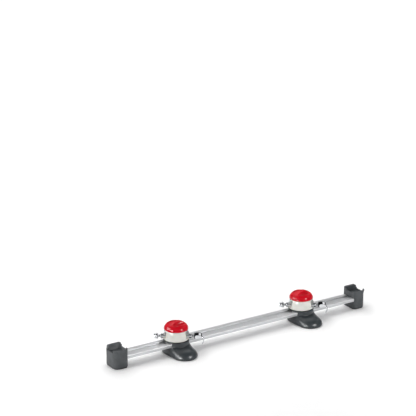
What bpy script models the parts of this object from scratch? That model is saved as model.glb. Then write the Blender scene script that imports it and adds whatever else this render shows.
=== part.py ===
"""Fork-mount bike rack for a truck bed: a T-channel rail on two feet, with two sliding fork heads.

Metres, +Z up. X runs along the rail, -Y is the side of the rounded toes, and the floor is z = 0.
The origin is the middle of the whole rack on the floor. Each head stands at its photographed place,
with its axle turned from the rail, its knob tight and its quick release lever closed.
"""
import math

import bmesh
import bpy
from mathutils import Matrix, Vector

# The rack as a whole
RACK_SHIFT_Y = 0.0241           # from the middle of the rack's depth to the rail's centre line
HEAD_PLACES = {"left": -0.250, "right": 0.245}
AXLE_TURN = math.radians(-32.5)
GAP = 0.0003                    # clearance between pieces that touch

# Rail
RAIL_WIDTH = 0.054
RAIL_THICK = 0.012
RAIL_TOP = 0.040
RAIL_HALF = 0.479
RAIL_CORNER = 0.0025
CHANNEL_MOUTH = 0.026
CHANNEL_WIDTH = 0.035
CHANNEL_FLOOR = 0.0333
LIP_THICK = 0.0024
EDGE_GROOVE_DEEP = 0.0012
EDGE_GROOVE_HIGH = 0.0022
CHAMBER_IN = 0.0194             # hollow chambers beside the channel
CHAMBER_OUT = 0.0246

# Feet
FOOT_INNER = 0.445              # from the middle of the rack to the foot's face
FOOT_LENGTH = 0.0505
FOOT_FRONT = 0.0315
FOOT_REAR = 0.0305
FOOT_RIM = 0.064
FOOT_RIDGE = 0.068
RIDGE_FRONT = 0.0195
RIDGE_LENGTH = 0.0465
FOOT_WALL = 0.0042
STRAP_FLOOR = 0.050
INNER_NOTCH_FLOOR = 0.0580
OUTER_NOTCH_FLOOR = 0.0535
SOCKET_DEEP = 0.0345
SOLE_THICK = 0.0026
HOLLOW_ROOF = 0.0242
SCREW_PLACES = (0.009, 0.026)   # from the foot's inner face
SCREW_RADIUS = 0.0024
SCREW_HEAD_RADIUS = 0.0045
SCREW_HEAD_HIGH = 0.003
SCREW_END = 0.0375
PLATE_LENGTH = 0.031
PLATE_WIDTH = 0.0342
PLATE_THICK = 0.003

# Head base
BASE_RADIUS = 0.0472
BASE_TOP_RADIUS = 0.0442
NECK_FOOT_RADIUS = 0.0434
NECK_TOP_RADIUS = 0.0422
NECK_TOP = 0.043
TOE_OFFSET = 0.0530
TOE_RADIUS = 0.0422
TOE_HIGH = 0.029
TOE_ROUNDNESS = 2.3
PAD_THICK = 0.002
BASE_WALL = 0.004
BASE_HOLLOW_ROOF = 0.0236
HUB_RADIUS = 0.0319

# Collar, bridge and axle
COLLAR_FLOOR = 0.0416
COLLAR_SKIRT = 0.047
COLLAR_TOP = 0.079
WINDOW_DEPTH = 0.0283           # half the depth of the side windows
WINDOW_FLOOR = 0.0498
BRIDGE_TOP = 0.0787
BRIDGE_LOW = 0.0600
AXLE_Z = 0.0535
AXLE_RADIUS = 0.0085
AXLE_HALF = 0.050               # half of the 100 mm between the shoulders
STUB_RADIUS = 0.0045
STUB_END = 0.0553
AXLE_BORE = 0.0030

# Clamp
STIRRUP_HALF = 0.0126
STIRRUP_EYE = 0.0089
STIRRUP_THICK = 0.0118
STUD_RADIUS = 0.0040
STUD_TOP = 0.0940
STEM_RADIUS = 0.0055
DISC_RADIUS = 0.0166
DISC_LOW = 0.0345
DISC_TOP = 0.0373
WASHER_TOP = 0.0804
INSERT_ACROSS = 0.0155
INSERT_TOP = 0.0955

# Knob
KNOB_RADIUS = 0.0394
KNOB_FOOT = 0.0793
KNOB_TOP = 0.1050
KNOB_BOSS = 0.0125
KNOB_TURNS = {"left": math.radians(36), "right": math.radians(38)}

# Quick release, measured along the axle from the middle of the head
ROD_RADIUS = 0.0025
ROD_END = 0.0708
CLAMP_FACE = 0.0583             # inner faces of the nut and of the cam housing
HOUSING_RADIUS = 0.0100
HOUSING_END = 0.0735
PIVOT = 0.0668
LEVER_SHAFT_RADIUS = 0.0042
BLADE_START = 0.35              # share of the lever's centre line taken by its fork
CAM_THROW = 0.0011
CAM_JOURNAL_RADIUS = 0.0029
EYE_RADIUS = 0.0067
EYE_HOLE_WIDE = 0.00445
EYE_HOLE_HIGH = 0.0050
EYE_HALF_THICK = 0.0025
NUT_RADIUS = 0.0096
NUT_END = 0.0742
SPRING_WIRE = 0.0009
SPRING_TURNS = 2.0

MATERIALS = {
    "aluminium": ((0.66, 0.67, 0.68), 0.35, 1.0),
    "foot_plastic": ((0.085, 0.092, 0.100), 0.55, 0.0),
    "base_plastic": ((0.060, 0.070, 0.078), 0.38, 0.0),
    "rubber": ((0.020, 0.020, 0.021), 0.85, 0.0),
    "ivory_plastic": ((0.78, 0.77, 0.72), 0.35, 0.0),
    "red_plastic": ((0.58, 0.012, 0.022), 0.20, 0.0),
    "chrome": ((0.72, 0.72, 0.74), 0.08, 1.0),
    "zinc_steel": ((0.50, 0.51, 0.53), 0.38, 1.0),
    "brass": ((0.72, 0.50, 0.20), 0.35, 1.0),
    "nylon": ((0.70, 0.70, 0.66), 0.50, 0.0),
    "dark_cast": ((0.030, 0.030, 0.033), 0.30, 1.0),
}


def clear_scene():
    for item in list(bpy.data.objects):
        bpy.data.objects.remove(item, do_unlink=True)


def material(name):
    found = bpy.data.materials.get(name)
    if found:
        return found
    color, roughness, metallic = MATERIALS[name]
    made = bpy.data.materials.new(name)
    made.use_nodes = True
    shader = made.node_tree.nodes["Principled BSDF"]
    shader.inputs["Base Color"].default_value = (*color, 1.0)
    shader.inputs["Roughness"].default_value = roughness
    shader.inputs["Metallic"].default_value = metallic
    made.diffuse_color = (*color, 1.0)
    return made


# Shape helpers

def finish(bm):
    """Turn a closed bmesh into a mesh with its faces outwards."""
    bmesh.ops.remove_doubles(bm, verts=bm.verts, dist=0.000001)
    bmesh.ops.recalc_face_normals(bm, faces=bm.faces)
    mesh = bpy.data.meshes.new("shape")
    bm.to_mesh(mesh)
    bm.free()
    return mesh


def loft(sections):
    """Skin rings of equal length in flat triangles, with the first and last ring capped."""
    bm = bmesh.new()
    rings = [[bm.verts.new(point) for point in section] for section in sections]
    count = len(rings[0])
    for lower, upper in zip(rings, rings[1:]):
        for i in range(count):
            j = (i + 1) % count
            bm.faces.new((lower[i], lower[j], upper[j], upper[i]))
    bmesh.ops.triangulate(bm, faces=bm.faces)
    bm.faces.new(list(reversed(rings[0])))
    bm.faces.new(rings[-1])
    return finish(bm)


def prism(outline, low, high):
    """Extrude a plan outline of (x, y) points from z = low to z = high."""
    bm = bmesh.new()
    face = bm.faces.new([bm.verts.new((x, y, low)) for x, y in outline])
    made = bmesh.ops.extrude_face_region(bm, geom=[face])
    top = [item for item in made["geom"] if isinstance(item, bmesh.types.BMVert)]
    bmesh.ops.translate(bm, verts=top, vec=(0, 0, high - low))
    return finish(bm)


def turned(profile, steps):
    """Spin a profile of (radius, z) points round Z; it starts and ends on the axis or closes a ring."""
    bm = bmesh.new()
    points = [bm.verts.new((radius, 0, z)) for radius, z in profile]
    edges = [bm.edges.new(pair) for pair in zip(points, points[1:])]
    if profile[0][0] > 0:
        edges.append(bm.edges.new((points[-1], points[0])))
    bmesh.ops.spin(bm, geom=points + edges, cent=(0, 0, 0), axis=(0, 0, 1), dvec=(0, 0, 0),
                   angle=math.tau, steps=steps, use_merge=True)
    return finish(bm)


def box(low, high):
    outline = [(low[0], low[1]), (high[0], low[1]), (high[0], high[1]), (low[0], high[1])]
    return prism(outline, low[2], high[2])


def disc(radius, low, high, steps=32):
    return turned([(0, low), (radius, low), (radius, high), (0, high)], steps)


def moved(mesh, matrix):
    mesh.transform(matrix)
    if matrix.determinant() < 0:
        mesh.flip_normals()
    return mesh


def along_x(mesh, x=0.0, y=0.0, z=0.0):
    """Lay a shape that was built along Z on the X axis, and place it."""
    return moved(mesh, Matrix.Translation((x, y, z)) @ Matrix.Rotation(math.pi / 2, 4, "Y"))


def along_y(mesh, x=0.0, y=0.0, z=0.0):
    """Lay a shape that was built along Z on the Y axis, and place it."""
    return moved(mesh, Matrix.Translation((x, y, z)) @ Matrix.Rotation(-math.pi / 2, 4, "X"))


def side_prism(outline, near, far):
    """Extrude an outline of (y, z) points along X."""
    mesh = prism(outline, near, far)
    return moved(mesh, Matrix(((0, 0, 1, 0), (1, 0, 0, 0), (0, 1, 0, 0), (0, 0, 0, 1))))


def front_prism(outline, near, far):
    """Extrude an outline of (x, z) points along Y."""
    mesh = prism(outline, near, far)
    return moved(mesh, Matrix(((1, 0, 0, 0), (0, 0, 1, 0), (0, 1, 0, 0), (0, 0, 0, 1))))


def combine(mesh, tools, operation="DIFFERENCE"):
    """Cut, join or intersect a mesh with each tool in turn."""
    body = bpy.data.objects.new("work", mesh)
    bpy.context.scene.collection.objects.link(body)
    cutters = []
    for tool in tools:
        cutter = bpy.data.objects.new("tool", tool)
        bpy.context.scene.collection.objects.link(cutter)
        cutters.append(cutter)
        modifier = body.modifiers.new(operation, "BOOLEAN")
        modifier.operation = operation
        modifier.solver = "EXACT"
        modifier.object = cutter
    depsgraph = bpy.context.evaluated_depsgraph_get()
    result = bpy.data.meshes.new_from_object(body.evaluated_get(depsgraph))
    for item in [body, *cutters]:
        bpy.data.objects.remove(item, do_unlink=True)
    return result


def arc(cx, cy, radius, start, end, steps):
    """Points on an arc, with its angles in degrees."""
    angles = [math.radians(start + (end - start) * i / steps) for i in range(steps + 1)]
    return [(cx + radius * math.cos(a), cy + radius * math.sin(a)) for a in angles]


def rounded_outline(x0, y0, x1, y1, radii, steps=4):
    """A rectangle with its own radius at each corner: (x0, y0), (x1, y0), (x1, y1), (x0, y1)."""
    a, b, c, d = radii
    return (arc(x0 + a, y0 + a, a, 180, 270, steps) + arc(x1 - b, y0 + b, b, 270, 360, steps)
            + arc(x1 - c, y1 - c, c, 0, 90, steps) + arc(x0 + d, y1 - d, d, 90, 180, steps))


def hexagon(across_flats):
    radius = across_flats / math.sqrt(3)
    return [(radius * math.cos(math.tau * i / 6), radius * math.sin(math.tau * i / 6)) for i in range(6)]


# Rail

def rail_section():
    """The rail's outline in Y and Z: rounded edges with a groove, and the open T-channel on top."""
    half = RAIL_WIDTH / 2
    low = RAIL_TOP - RAIL_THICK
    mouth = CHANNEL_MOUTH / 2
    inside = CHANNEL_WIDTH / 2
    under = RAIL_TOP - LIP_THICK
    middle = low + RAIL_THICK / 2
    notch = EDGE_GROOVE_HIGH / 2
    right = (arc(half - RAIL_CORNER, low + RAIL_CORNER, RAIL_CORNER, 270, 360, 3)
             + [(half, middle - notch), (half - EDGE_GROOVE_DEEP, middle - notch * 0.4),
                (half - EDGE_GROOVE_DEEP, middle + notch * 0.4), (half, middle + notch)]
             + arc(half - RAIL_CORNER, RAIL_TOP - RAIL_CORNER, RAIL_CORNER, 0, 90, 3)
             + [(mouth, RAIL_TOP), (mouth, under), (inside, under), (inside, CHANNEL_FLOOR)])
    left = [(-y, z) for y, z in reversed(right)]
    return right + left


def rail_mesh():
    body = side_prism(rail_section(), -RAIL_HALF, RAIL_HALF)
    low = RAIL_TOP - RAIL_THICK + 0.002
    high = RAIL_TOP - 0.002
    tools = []
    for side in (-1, 1):
        edges = sorted((side * CHAMBER_IN, side * CHAMBER_OUT))
        outline = rounded_outline(edges[0], low, edges[1], high, (0.0012,) * 4, 2)
        tools.append(side_prism(outline, -RAIL_HALF - 0.01, RAIL_HALF + 0.01))
    for side in (-1, 1):
        for place in SCREW_PLACES:
            hole = disc(SCREW_RADIUS + 0.0005, 0.020, CHANNEL_FLOOR + 0.001, 16)
            tools.append(moved(hole, Matrix.Translation((side * (FOOT_INNER + place), 0, 0))))
    return combine(body, tools)


# Feet, built for the right-hand end with the inner face at x = 0

def foot_outline(inset, outer_corner):
    radii = (0.012 - inset, outer_corner - inset, 0.007 - inset, 0.005 - inset)
    return rounded_outline(inset, -FOOT_FRONT + inset, FOOT_LENGTH - inset, FOOT_REAR - inset, radii)


def foot_shell():
    """The outer form: a rounded post whose front outer corner flares out to a lip at the rim."""
    levels = [(SOLE_THICK + GAP, 0.0014, 0.020), (SOLE_THICK + 0.0024, 0.0, 0.020),
              (0.052, 0.0, 0.020), (0.059, 0.0, 0.017), (FOOT_RIM, 0.0, 0.0135),
              (FOOT_RIDGE - 0.0012, 0.0, 0.0135), (FOOT_RIDGE, 0.0012, 0.0135)]
    return loft([[(x, y, z) for x, y in foot_outline(inset, corner)] for z, inset, corner in levels])


def foot_mesh():
    far = FOOT_LENGTH + 0.01
    above = FOOT_RIDGE + 0.01
    inside = rounded_outline(FOOT_WALL, -FOOT_FRONT + FOOT_WALL, FOOT_LENGTH - FOOT_WALL, RIDGE_FRONT,
                             (0.008, 0.010, 0.003, 0.003), 4)
    inner_notch = rounded_outline(-0.018, INNER_NOTCH_FLOOR, 0.014, above, (0.004, 0.004, 0.001, 0.001), 3)
    outer_notch = rounded_outline(-0.0175, OUTER_NOTCH_FLOOR, RIDGE_FRONT, above,
                                  (0.006, 0.001, 0.001, 0.001), 3)
    ridge_end = ([(0.030, above), (0.030, FOOT_RIDGE + 0.0001)]
                 + list(reversed(arc(RIDGE_LENGTH - 0.006, FOOT_RIDGE - 0.006, 0.006, 0, 80, 4)))
                 + [(RIDGE_LENGTH, OUTER_NOTCH_FLOOR + 0.005), (RIDGE_LENGTH + 0.0015, OUTER_NOTCH_FLOOR + 0.0035),
                    (far, OUTER_NOTCH_FLOOR + 0.0035), (far, above)])
    tools = [
        box((-0.01, -FOOT_FRONT - 0.01, FOOT_RIM), (far, RIDGE_FRONT - 0.0002, above)),
        prism(inside, STRAP_FLOOR, above),
        side_prism(inner_notch, -0.01, FOOT_WALL + 0.001),
        side_prism(outer_notch, FOOT_LENGTH - FOOT_WALL - 0.001, far),
        front_prism(ridge_end, RIDGE_FRONT - 0.001, FOOT_REAR + 0.01),
        box((-0.01, -RAIL_WIDTH / 2 - GAP, RAIL_TOP - RAIL_THICK - GAP),
            (SOCKET_DEEP, RAIL_WIDTH / 2 + GAP, RAIL_TOP + GAP)),
    ]
    tools += foot_pockets()
    for place in SCREW_PLACES:
        hole = disc(SCREW_RADIUS + 0.0005, HOLLOW_ROOF - 0.01, RAIL_TOP - RAIL_THICK + 0.001, 16)
        tools.append(moved(hole, Matrix.Translation((place, 0, 0))))
    return combine(foot_shell(), tools)


def foot_pockets():
    """Four pockets open to the sole, which leave walls and a cross of ribs."""
    rib = 0.0015
    wall = FOOT_WALL
    middle = SCREW_PLACES[0] + (SCREW_PLACES[1] - SCREW_PLACES[0]) / 2
    spans_x = [(wall, middle - rib), (middle + rib, FOOT_LENGTH - wall)]
    spans_y = [(-FOOT_FRONT + wall, -0.0075 - rib), (-0.0075 + rib, 0.0075 - rib),
               (0.0075 + rib, FOOT_REAR - wall)]
    pockets = []
    for x0, x1 in spans_x:
        for y0, y1 in spans_y:
            outline = rounded_outline(x0, y0, x1, y1, (0.003,) * 4, 2)
            pockets.append(prism(outline, -0.01, HOLLOW_ROOF))
    front = foot_outline(wall, 0.022)
    keep = prism(front, -0.02, HOLLOW_ROOF + 0.01)
    return [combine(pocket, [keep.copy()], "INTERSECT") for pocket in pockets]


def foot_pad_mesh():
    """Rubber sole with three grip grooves across it."""
    sole = prism(foot_outline(0.0014, 0.020), 0, SOLE_THICK)
    grooves = []
    for y in (-0.016, 0.0, 0.015):
        grooves.append(box((-0.01, y - 0.0015, -0.01), (FOOT_LENGTH + 0.01, y + 0.0015, 0.0010)))
    return combine(sole, grooves)


def foot_screw_mesh():
    """Pan head screw; its origin is under the socket's floor, on its own axis."""
    head = HOLLOW_ROOF - GAP
    low = head - SCREW_HEAD_HIGH
    profile = [(0, low), (SCREW_HEAD_RADIUS - 0.001, low), (SCREW_HEAD_RADIUS, low + 0.001),
               (SCREW_HEAD_RADIUS, head), (SCREW_RADIUS, head), (SCREW_RADIUS, SCREW_END), (0, SCREW_END)]
    socket = prism(hexagon(0.003), low - 0.001, low + 0.0016)
    return combine(turned(profile, 12), [socket])


def nut_plate_mesh():
    half = PLATE_WIDTH / 2
    low = CHANNEL_FLOOR + GAP
    outline = rounded_outline(0.001, -half, 0.001 + PLATE_LENGTH, half, (0.002,) * 4, 2)
    holes = []
    for place in SCREW_PLACES:
        hole = disc(SCREW_RADIUS + GAP, low - 0.001, low + PLATE_THICK + 0.001, 16)
        holes.append(moved(hole, Matrix.Translation((place, 0, 0))))
    return combine(prism(outline, low, low + PLATE_THICK), holes)


# Head base, built with the swivel axis at x = 0, y = 0

# Directions from the swivel axis, in degrees from straight ahead over the toe
HALF_TURN = (8, 16, 24, 32, 40, 49, 59, 71, 84, 98, 114, 132, 152)
BASE_DIRECTIONS = [math.radians(a) for a in (0, *HALF_TURN, 180, *(-a for a in reversed(HALF_TURN)))]


def egg_reach(angle, rear, front):
    """How far the tangent outline round a rear and a front circle reaches in one direction."""
    angle = abs(angle)
    touch = math.acos((rear - front) / TOE_OFFSET)
    turn = math.atan2(front * math.sin(touch), TOE_OFFSET + front * math.cos(touch))
    if angle < turn:
        return TOE_OFFSET * math.cos(angle) + math.sqrt(front ** 2 - (TOE_OFFSET * math.sin(angle)) ** 2)
    return rear / math.cos(angle - touch) if angle < touch else rear


def egg_ring(rear, front, z):
    reaches = [(a, egg_reach(a, rear, front)) for a in BASE_DIRECTIONS]
    return [(reach * math.sin(a), -reach * math.cos(a), z) for a, reach in reaches]


def neck_ring(radius, z):
    return [(radius * math.sin(a), -radius * math.cos(a), z) for a in BASE_DIRECTIONS]


def toe_radius(z, shrink=0.0):
    """The toe's plan radius falls away with height as a full round dome."""
    share = min(z / (TOE_HIGH - shrink), 1.0)
    return (TOE_RADIUS - shrink) * (1.0 - share ** TOE_ROUNDNESS) ** (1.0 / TOE_ROUNDNESS)


def side_radius(z):
    """The base's rear wall leans in towards the neck."""
    return BASE_RADIUS + (BASE_TOP_RADIUS - BASE_RADIUS) * z / TOE_HIGH


def base_form():
    """Toe and neck in one skin, from the sole up to the neck's top edge."""
    sections = [egg_ring(side_radius(0.002) - 0.0012, toe_radius(0) - 0.0012, PAD_THICK + GAP)]
    for z in (0.0040, 0.0110, 0.0170, 0.0220, 0.0258, 0.0279, 0.0287):
        sections.append(egg_ring(side_radius(z), toe_radius(z), z))
    for radius, z in ((NECK_FOOT_RADIUS + 0.0008, 0.0292), (NECK_FOOT_RADIUS, 0.0310),
                      (NECK_TOP_RADIUS, NECK_TOP - 0.0010), (NECK_TOP_RADIUS - 0.0010, NECK_TOP)):
        sections.append(neck_ring(radius, z))
    return loft(sections)


def base_hollow():
    """The space under the moulding, open to the sole and crossed by ribs."""
    inset = BASE_WALL
    sections = [egg_ring(side_radius(0) - inset, TOE_RADIUS - inset, -0.005)]
    for z in (0.012, BASE_HOLLOW_ROOF):
        sections.append(egg_ring(side_radius(z) - inset, toe_radius(z + 0.0008, inset * 0.2) - inset, z))
    ribs = [box((-0.0015, -0.2, -0.02), (0.0015, 0.2, 0.1))]
    for y in (-0.066, -0.040, -0.014, 0.014):
        ribs.append(box((-0.2, y - 0.0013, -0.02), (0.2, y + 0.0013, 0.1)))
    return combine(loft(sections), ribs)


def base_mesh():
    tunnel = box((-0.08, -RAIL_WIDTH / 2 - GAP, RAIL_TOP - RAIL_THICK - GAP),
                 (0.08, RAIL_WIDTH / 2 + GAP, RAIL_TOP + GAP))
    seat = disc(HUB_RADIUS + 0.0004, RAIL_TOP - 0.0002, NECK_TOP + 0.01, 40)
    return combine(base_form(), [tunnel, seat, base_hollow()])


def base_pad_mesh():
    """Rubber sole, a plate with an egg-shaped opening."""
    outer = egg_ring(BASE_RADIUS - 0.0030, TOE_RADIUS - 0.0030, 0)
    inner = egg_ring(BASE_RADIUS - 0.0190, TOE_RADIUS - 0.0190, 0)
    plate = prism([(x, y) for x, y, z in outer], 0, PAD_THICK)
    return combine(plate, [prism([(x, y) for x, y, z in inner], -0.01, 0.01)])


def friction_washer_mesh():
    low = RAIL_TOP + GAP
    return turned([(0.0145, low), (0.0300, low), (0.0300, low + 0.001), (0.0145, low + 0.001)], 20)


# Collar and bridge, built with the axle along X

def barrel_radius(z):
    """The collar swells a little below its middle and draws in under the knob."""
    top = (COLLAR_TOP - z) / (COLLAR_TOP - COLLAR_SKIRT)
    return 0.0394 + 0.0062 * math.sin(math.pi * 0.62 * top) * (1 - 0.42 * top)


def collar_mesh():
    profile = [(0, COLLAR_FLOOR), (HUB_RADIUS - 0.0005, COLLAR_FLOOR), (HUB_RADIUS, COLLAR_FLOOR + 0.0005),
               (HUB_RADIUS, COLLAR_SKIRT - 0.0004), (barrel_radius(COLLAR_SKIRT) - 0.0012, COLLAR_SKIRT)]
    for z in (0.0480, 0.0560, 0.0660, 0.0784):
        profile.append((barrel_radius(z), z))
    profile += [(barrel_radius(COLLAR_TOP) - 0.0008, COLLAR_TOP), (0, COLLAR_TOP)]
    window = [(-0.0182, 0.085), (-0.0182, 0.0790), (-0.0205, 0.0770), (-0.0262, 0.0755),
              (-WINDOW_DEPTH, 0.0725), (-WINDOW_DEPTH, 0.0570), (-0.0265, 0.0530),
              (-0.0225, 0.0507), (-0.0180, WINDOW_FLOOR)]
    window += [(-y, z) for y, z in reversed(window)]
    tools = [
        side_prism(list(reversed(window)), -0.06, 0.06),
        along_x(disc(AXLE_RADIUS + GAP, -0.06, 0.06, 20), z=AXLE_Z),
        box((-0.0063, -STIRRUP_HALF - 0.0005, 0.03), (0.0063, STIRRUP_HALF + 0.0005, 0.06)),
    ]
    return combine(turned(profile, 36), tools)


def bridge_mesh():
    """Clamp over the axle tube; its ends follow the collar's barrel."""
    trim = [(0, 0.050)]
    for z in (0.050, 0.066):
        trim.append((barrel_radius(z) - 0.0006, z))
    trim += [(barrel_radius(BRIDGE_TOP) - 0.0008, BRIDGE_TOP), (0, BRIDGE_TOP)]
    section = [(-0.0094, BRIDGE_LOW), (0.0094, BRIDGE_LOW), (0.0104, 0.0650), (0.0170, 0.0735),
               (0.0178, 0.0760), (0.0178, 0.09), (-0.0178, 0.09), (-0.0178, 0.0760),
               (-0.0170, 0.0735), (-0.0104, 0.0650)]
    body = combine(turned(trim, 36), [side_prism(section, -0.06, 0.06)], "INTERSECT")
    tools = [
        along_x(disc(AXLE_RADIUS + GAP, -0.06, 0.06, 20), z=AXLE_Z),
        box((-0.0063, -0.03, 0.04), (0.0063, 0.03, 0.0692)),
        disc(STUD_RADIUS + 0.0004, 0.06, 0.09, 20),
    ]
    return combine(body, tools)


def axle_tube_mesh():
    end = STUB_END
    half = [(STUB_RADIUS, end), (STUB_RADIUS, AXLE_HALF), (AXLE_RADIUS - 0.0005, AXLE_HALF),
            (AXLE_RADIUS, AXLE_HALF - 0.0005)]
    profile = [(AXLE_BORE, end)] + half + [(radius, -x) for radius, x in reversed(half)] + [(AXLE_BORE, -end)]
    return along_x(turned(profile, 20), z=AXLE_Z)


# Clamp parts

def stadium(half, low, high, steps=8):
    """An upright slot outline in Y and Z with round ends."""
    return arc(0, low + half, half, 180, 360, steps) + arc(0, high - half, half, 0, 180, steps)


def stirrup_mesh():
    """Forged eye round the axle tube, with a stem below for the disc and a stud above for the knob."""
    thick = STIRRUP_THICK / 2
    low = RAIL_TOP - 0.0005
    body = side_prism(stadium(STIRRUP_HALF, low, 0.0684), -thick, thick)
    hole = side_prism(stadium(STIRRUP_EYE, AXLE_Z - STIRRUP_EYE, 0.0639), -0.02, 0.02)
    stem = disc(STEM_RADIUS, DISC_LOW + 0.0001, low + 0.003, 16)
    stud = turned([(0, 0.0655), (STUD_RADIUS, 0.0655), (STUD_RADIUS, STUD_TOP - 0.0008),
                   (STUD_RADIUS - 0.0008, STUD_TOP), (0, STUD_TOP)], 16)
    return combine(combine(body, [stem, stud], "UNION"), [hole])


def t_disc_mesh():
    inner = STEM_RADIUS + GAP
    profile = [(inner, DISC_LOW), (DISC_RADIUS - 0.0008, DISC_LOW), (DISC_RADIUS, DISC_LOW + 0.0008),
               (DISC_RADIUS, DISC_TOP), (inner, DISC_TOP)]
    return turned(profile, 20)


def thrust_washer_mesh():
    low = BRIDGE_TOP + GAP
    return turned([(0.0046, low), (0.0150, low), (0.0150, WASHER_TOP), (0.0046, WASHER_TOP)], 16)


def knob_insert_mesh():
    """Hexagonal threaded bush."""
    low = WASHER_TOP + GAP
    bore = disc(STUD_RADIUS + GAP, low - 0.01, INSERT_TOP - 0.001, 16)
    return combine(prism(hexagon(INSERT_ACROSS), low, INSERT_TOP), [bore])


def knob_mesh():
    """Domed shell with a boss for its insert, and a hollow for the fingers on each side of a grip."""
    high = KNOB_TOP - KNOB_FOOT
    rise = [(KNOB_RADIUS * math.cos(a), KNOB_FOOT + 0.0012 + (high - 0.0012) * math.sin(a))
            for a in (math.radians(90 * i / 7) for i in range(7))]
    inner_radius = KNOB_RADIUS - 0.0038
    cave = [(inner_radius * math.cos(a), KNOB_FOOT + 0.0010 + 0.0105 * math.sin(a))
            for a in (math.radians(x) for x in (0, 35, 62))]
    profile = [(0, KNOB_TOP)] + list(reversed(rise)) + [(KNOB_RADIUS - 0.0008, KNOB_FOOT),
                                                       (inner_radius, KNOB_FOOT)]
    profile += cave + [(KNOB_BOSS, 0.0890), (KNOB_BOSS, WASHER_TOP + 0.0006), (0, WASHER_TOP + 0.0006)]
    shell = turned(profile, 32)
    bore = prism(hexagon(INSERT_ACROSS + 2 * GAP), WASHER_TOP - 0.01, INSERT_TOP + GAP)
    return combine(shell, [bore, finger_hollow(-1), finger_hollow(1)])


def finger_hollow(side):
    """An egg-shaped cutter that scoops the dome beside the grip."""
    bm = bmesh.new()
    bmesh.ops.create_uvsphere(bm, u_segments=16, v_segments=10, radius=1.0)
    shape = Matrix.Diagonal((0.0550, 0.0125, 0.0135, 1.0))
    place = Matrix.Translation((0, side * 0.0190, 0.1085)) @ Matrix.Rotation(side * math.radians(-14), 4, "X")
    bmesh.ops.transform(bm, matrix=place @ shape, verts=bm.verts)
    return finish(bm)


# Quick release

def skewer_rod_mesh():
    rod = along_x(disc(ROD_RADIUS, -ROD_END, PIVOT - 0.0055, 12))
    eye = along_y(disc(EYE_RADIUS, -EYE_HALF_THICK, EYE_HALF_THICK, 20), x=PIVOT)
    oval = Matrix.Diagonal((1, 1, EYE_HOLE_HIGH / EYE_HOLE_WIDE, 1))
    hole = moved(along_y(disc(EYE_HOLE_WIDE, -0.01, 0.01, 16)), Matrix.Translation((PIVOT, 0, 0)) @ oval)
    return combine(combine(rod, [eye], "UNION"), [hole])


def cam_housing_mesh():
    """Domed cup with a slot for the rod's eye and a cross bore for the lever's shaft."""
    profile = [(0, CLAMP_FACE), (HOUSING_RADIUS - 0.0006, CLAMP_FACE), (HOUSING_RADIUS, CLAMP_FACE + 0.0006),
               (HOUSING_RADIUS, HOUSING_END - 0.0045)]
    for i in range(1, 3):
        a = math.radians(90 * i / 2)
        profile.append((HOUSING_RADIUS - 0.0045 + 0.0045 * math.cos(a), HOUSING_END - 0.0045 + 0.0045 * math.sin(a)))
    profile.append((0, HOUSING_END))
    tools = [
        box((CLAMP_FACE + 0.0030, -EYE_HALF_THICK - 0.0004, -0.0078), (HOUSING_END + 0.01, EYE_HALF_THICK + 0.0004, 0.0078)),
        along_y(disc(LEVER_SHAFT_RADIUS + GAP, -0.02, 0.02, 16), x=PIVOT),
        along_x(turned([(0, CLAMP_FACE - 0.001), (0.0072, CLAMP_FACE - 0.001), (0.0060, CLAMP_FACE + 0.0034),
                        (0, CLAMP_FACE + 0.0034)], 16)),
    ]
    return moved(combine(along_x(turned(profile, 20)), tools), Matrix.Translation((0, 0, AXLE_Z)))


def lever_path(t):
    """Centre line of the closed lever in X and Z, from its pivot at t = 0 to its tip at t = 1."""
    points = [Vector((0.0, 0.0)), Vector((0.0100, 0.0045)), Vector((0.0245, -0.0020)),
              Vector((0.0265, -0.0180)), Vector((0.0165, -0.0280))]
    span = len(points) - 1
    whole = [p.copy() for p in points]
    for level in range(span):
        whole = [a.lerp(b, t) for a, b in zip(whole, whole[1:])]
    return whole[0]


def lever_blade():
    """The curved blade, a loft of rounded sections square to its centre line."""
    sections = []
    steps = 9
    for i in range(steps + 1):
        t = BLADE_START + (1 - BLADE_START) * i / steps
        here = lever_path(t)
        ahead = (lever_path(min(t + 0.01, 1.0)) - lever_path(t - 0.01)).normalized()
        side = Vector((-ahead.y, ahead.x))
        ease = math.sin(math.pi * i / steps)
        wide = 0.0062 + 0.0018 * ease
        thick = 0.0024 - 0.0006 * t
        if i == steps:
            wide, thick = wide * 0.72, thick * 0.55
        ring = []
        for k in range(8):
            a = math.tau * k / 8 + math.tau / 16
            y = wide * math.copysign(abs(math.cos(a)) ** 0.6, math.cos(a))
            offset = side * thick * math.copysign(abs(math.sin(a)) ** 0.6, math.sin(a))
            ring.append((here.x + offset.x, y, here.y + offset.y))
        sections.append(ring)
    return loft(sections)


def lever_arm(side):
    """One cheek of the lever's fork, beside the housing."""
    near = HOUSING_RADIUS + 0.0004
    outline = (arc(0, 0, 0.0062, 95, 290, 8) + [(0.0100, -0.0030), (0.0165, -0.0046), (0.0185, -0.0030),
                                                (0.0172, 0.0020), (0.0120, 0.0048), (0.0060, 0.0064)])
    ends = sorted((side * near, side * (near + 0.0030)))
    return front_prism(outline, ends[0], ends[1])


def cam_lever_mesh():
    """Forked lever with its eccentric cross shaft in one piece; the pivot is at the origin."""
    reach = HOUSING_RADIUS + 0.0030
    shaft = along_y(disc(LEVER_SHAFT_RADIUS, -reach, reach, 16))
    waist = along_y(turned([(CAM_JOURNAL_RADIUS, -0.0032), (0.02, -0.0032), (0.02, 0.0032),
                            (CAM_JOURNAL_RADIUS, 0.0032)], 16), x=CAM_THROW)
    shaft = combine(shaft, [waist])
    web_outline = [(0.0136, -0.0026), (0.0165, -0.0044), (0.0183, -0.0030), (0.0171, 0.0018), (0.0137, 0.0036)]
    web = front_prism(web_outline, -reach, reach)
    hook = combine(lever_blade(), [web, lever_arm(-1), lever_arm(1)], "UNION")
    return combine(hook, [shaft], "UNION")


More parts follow.
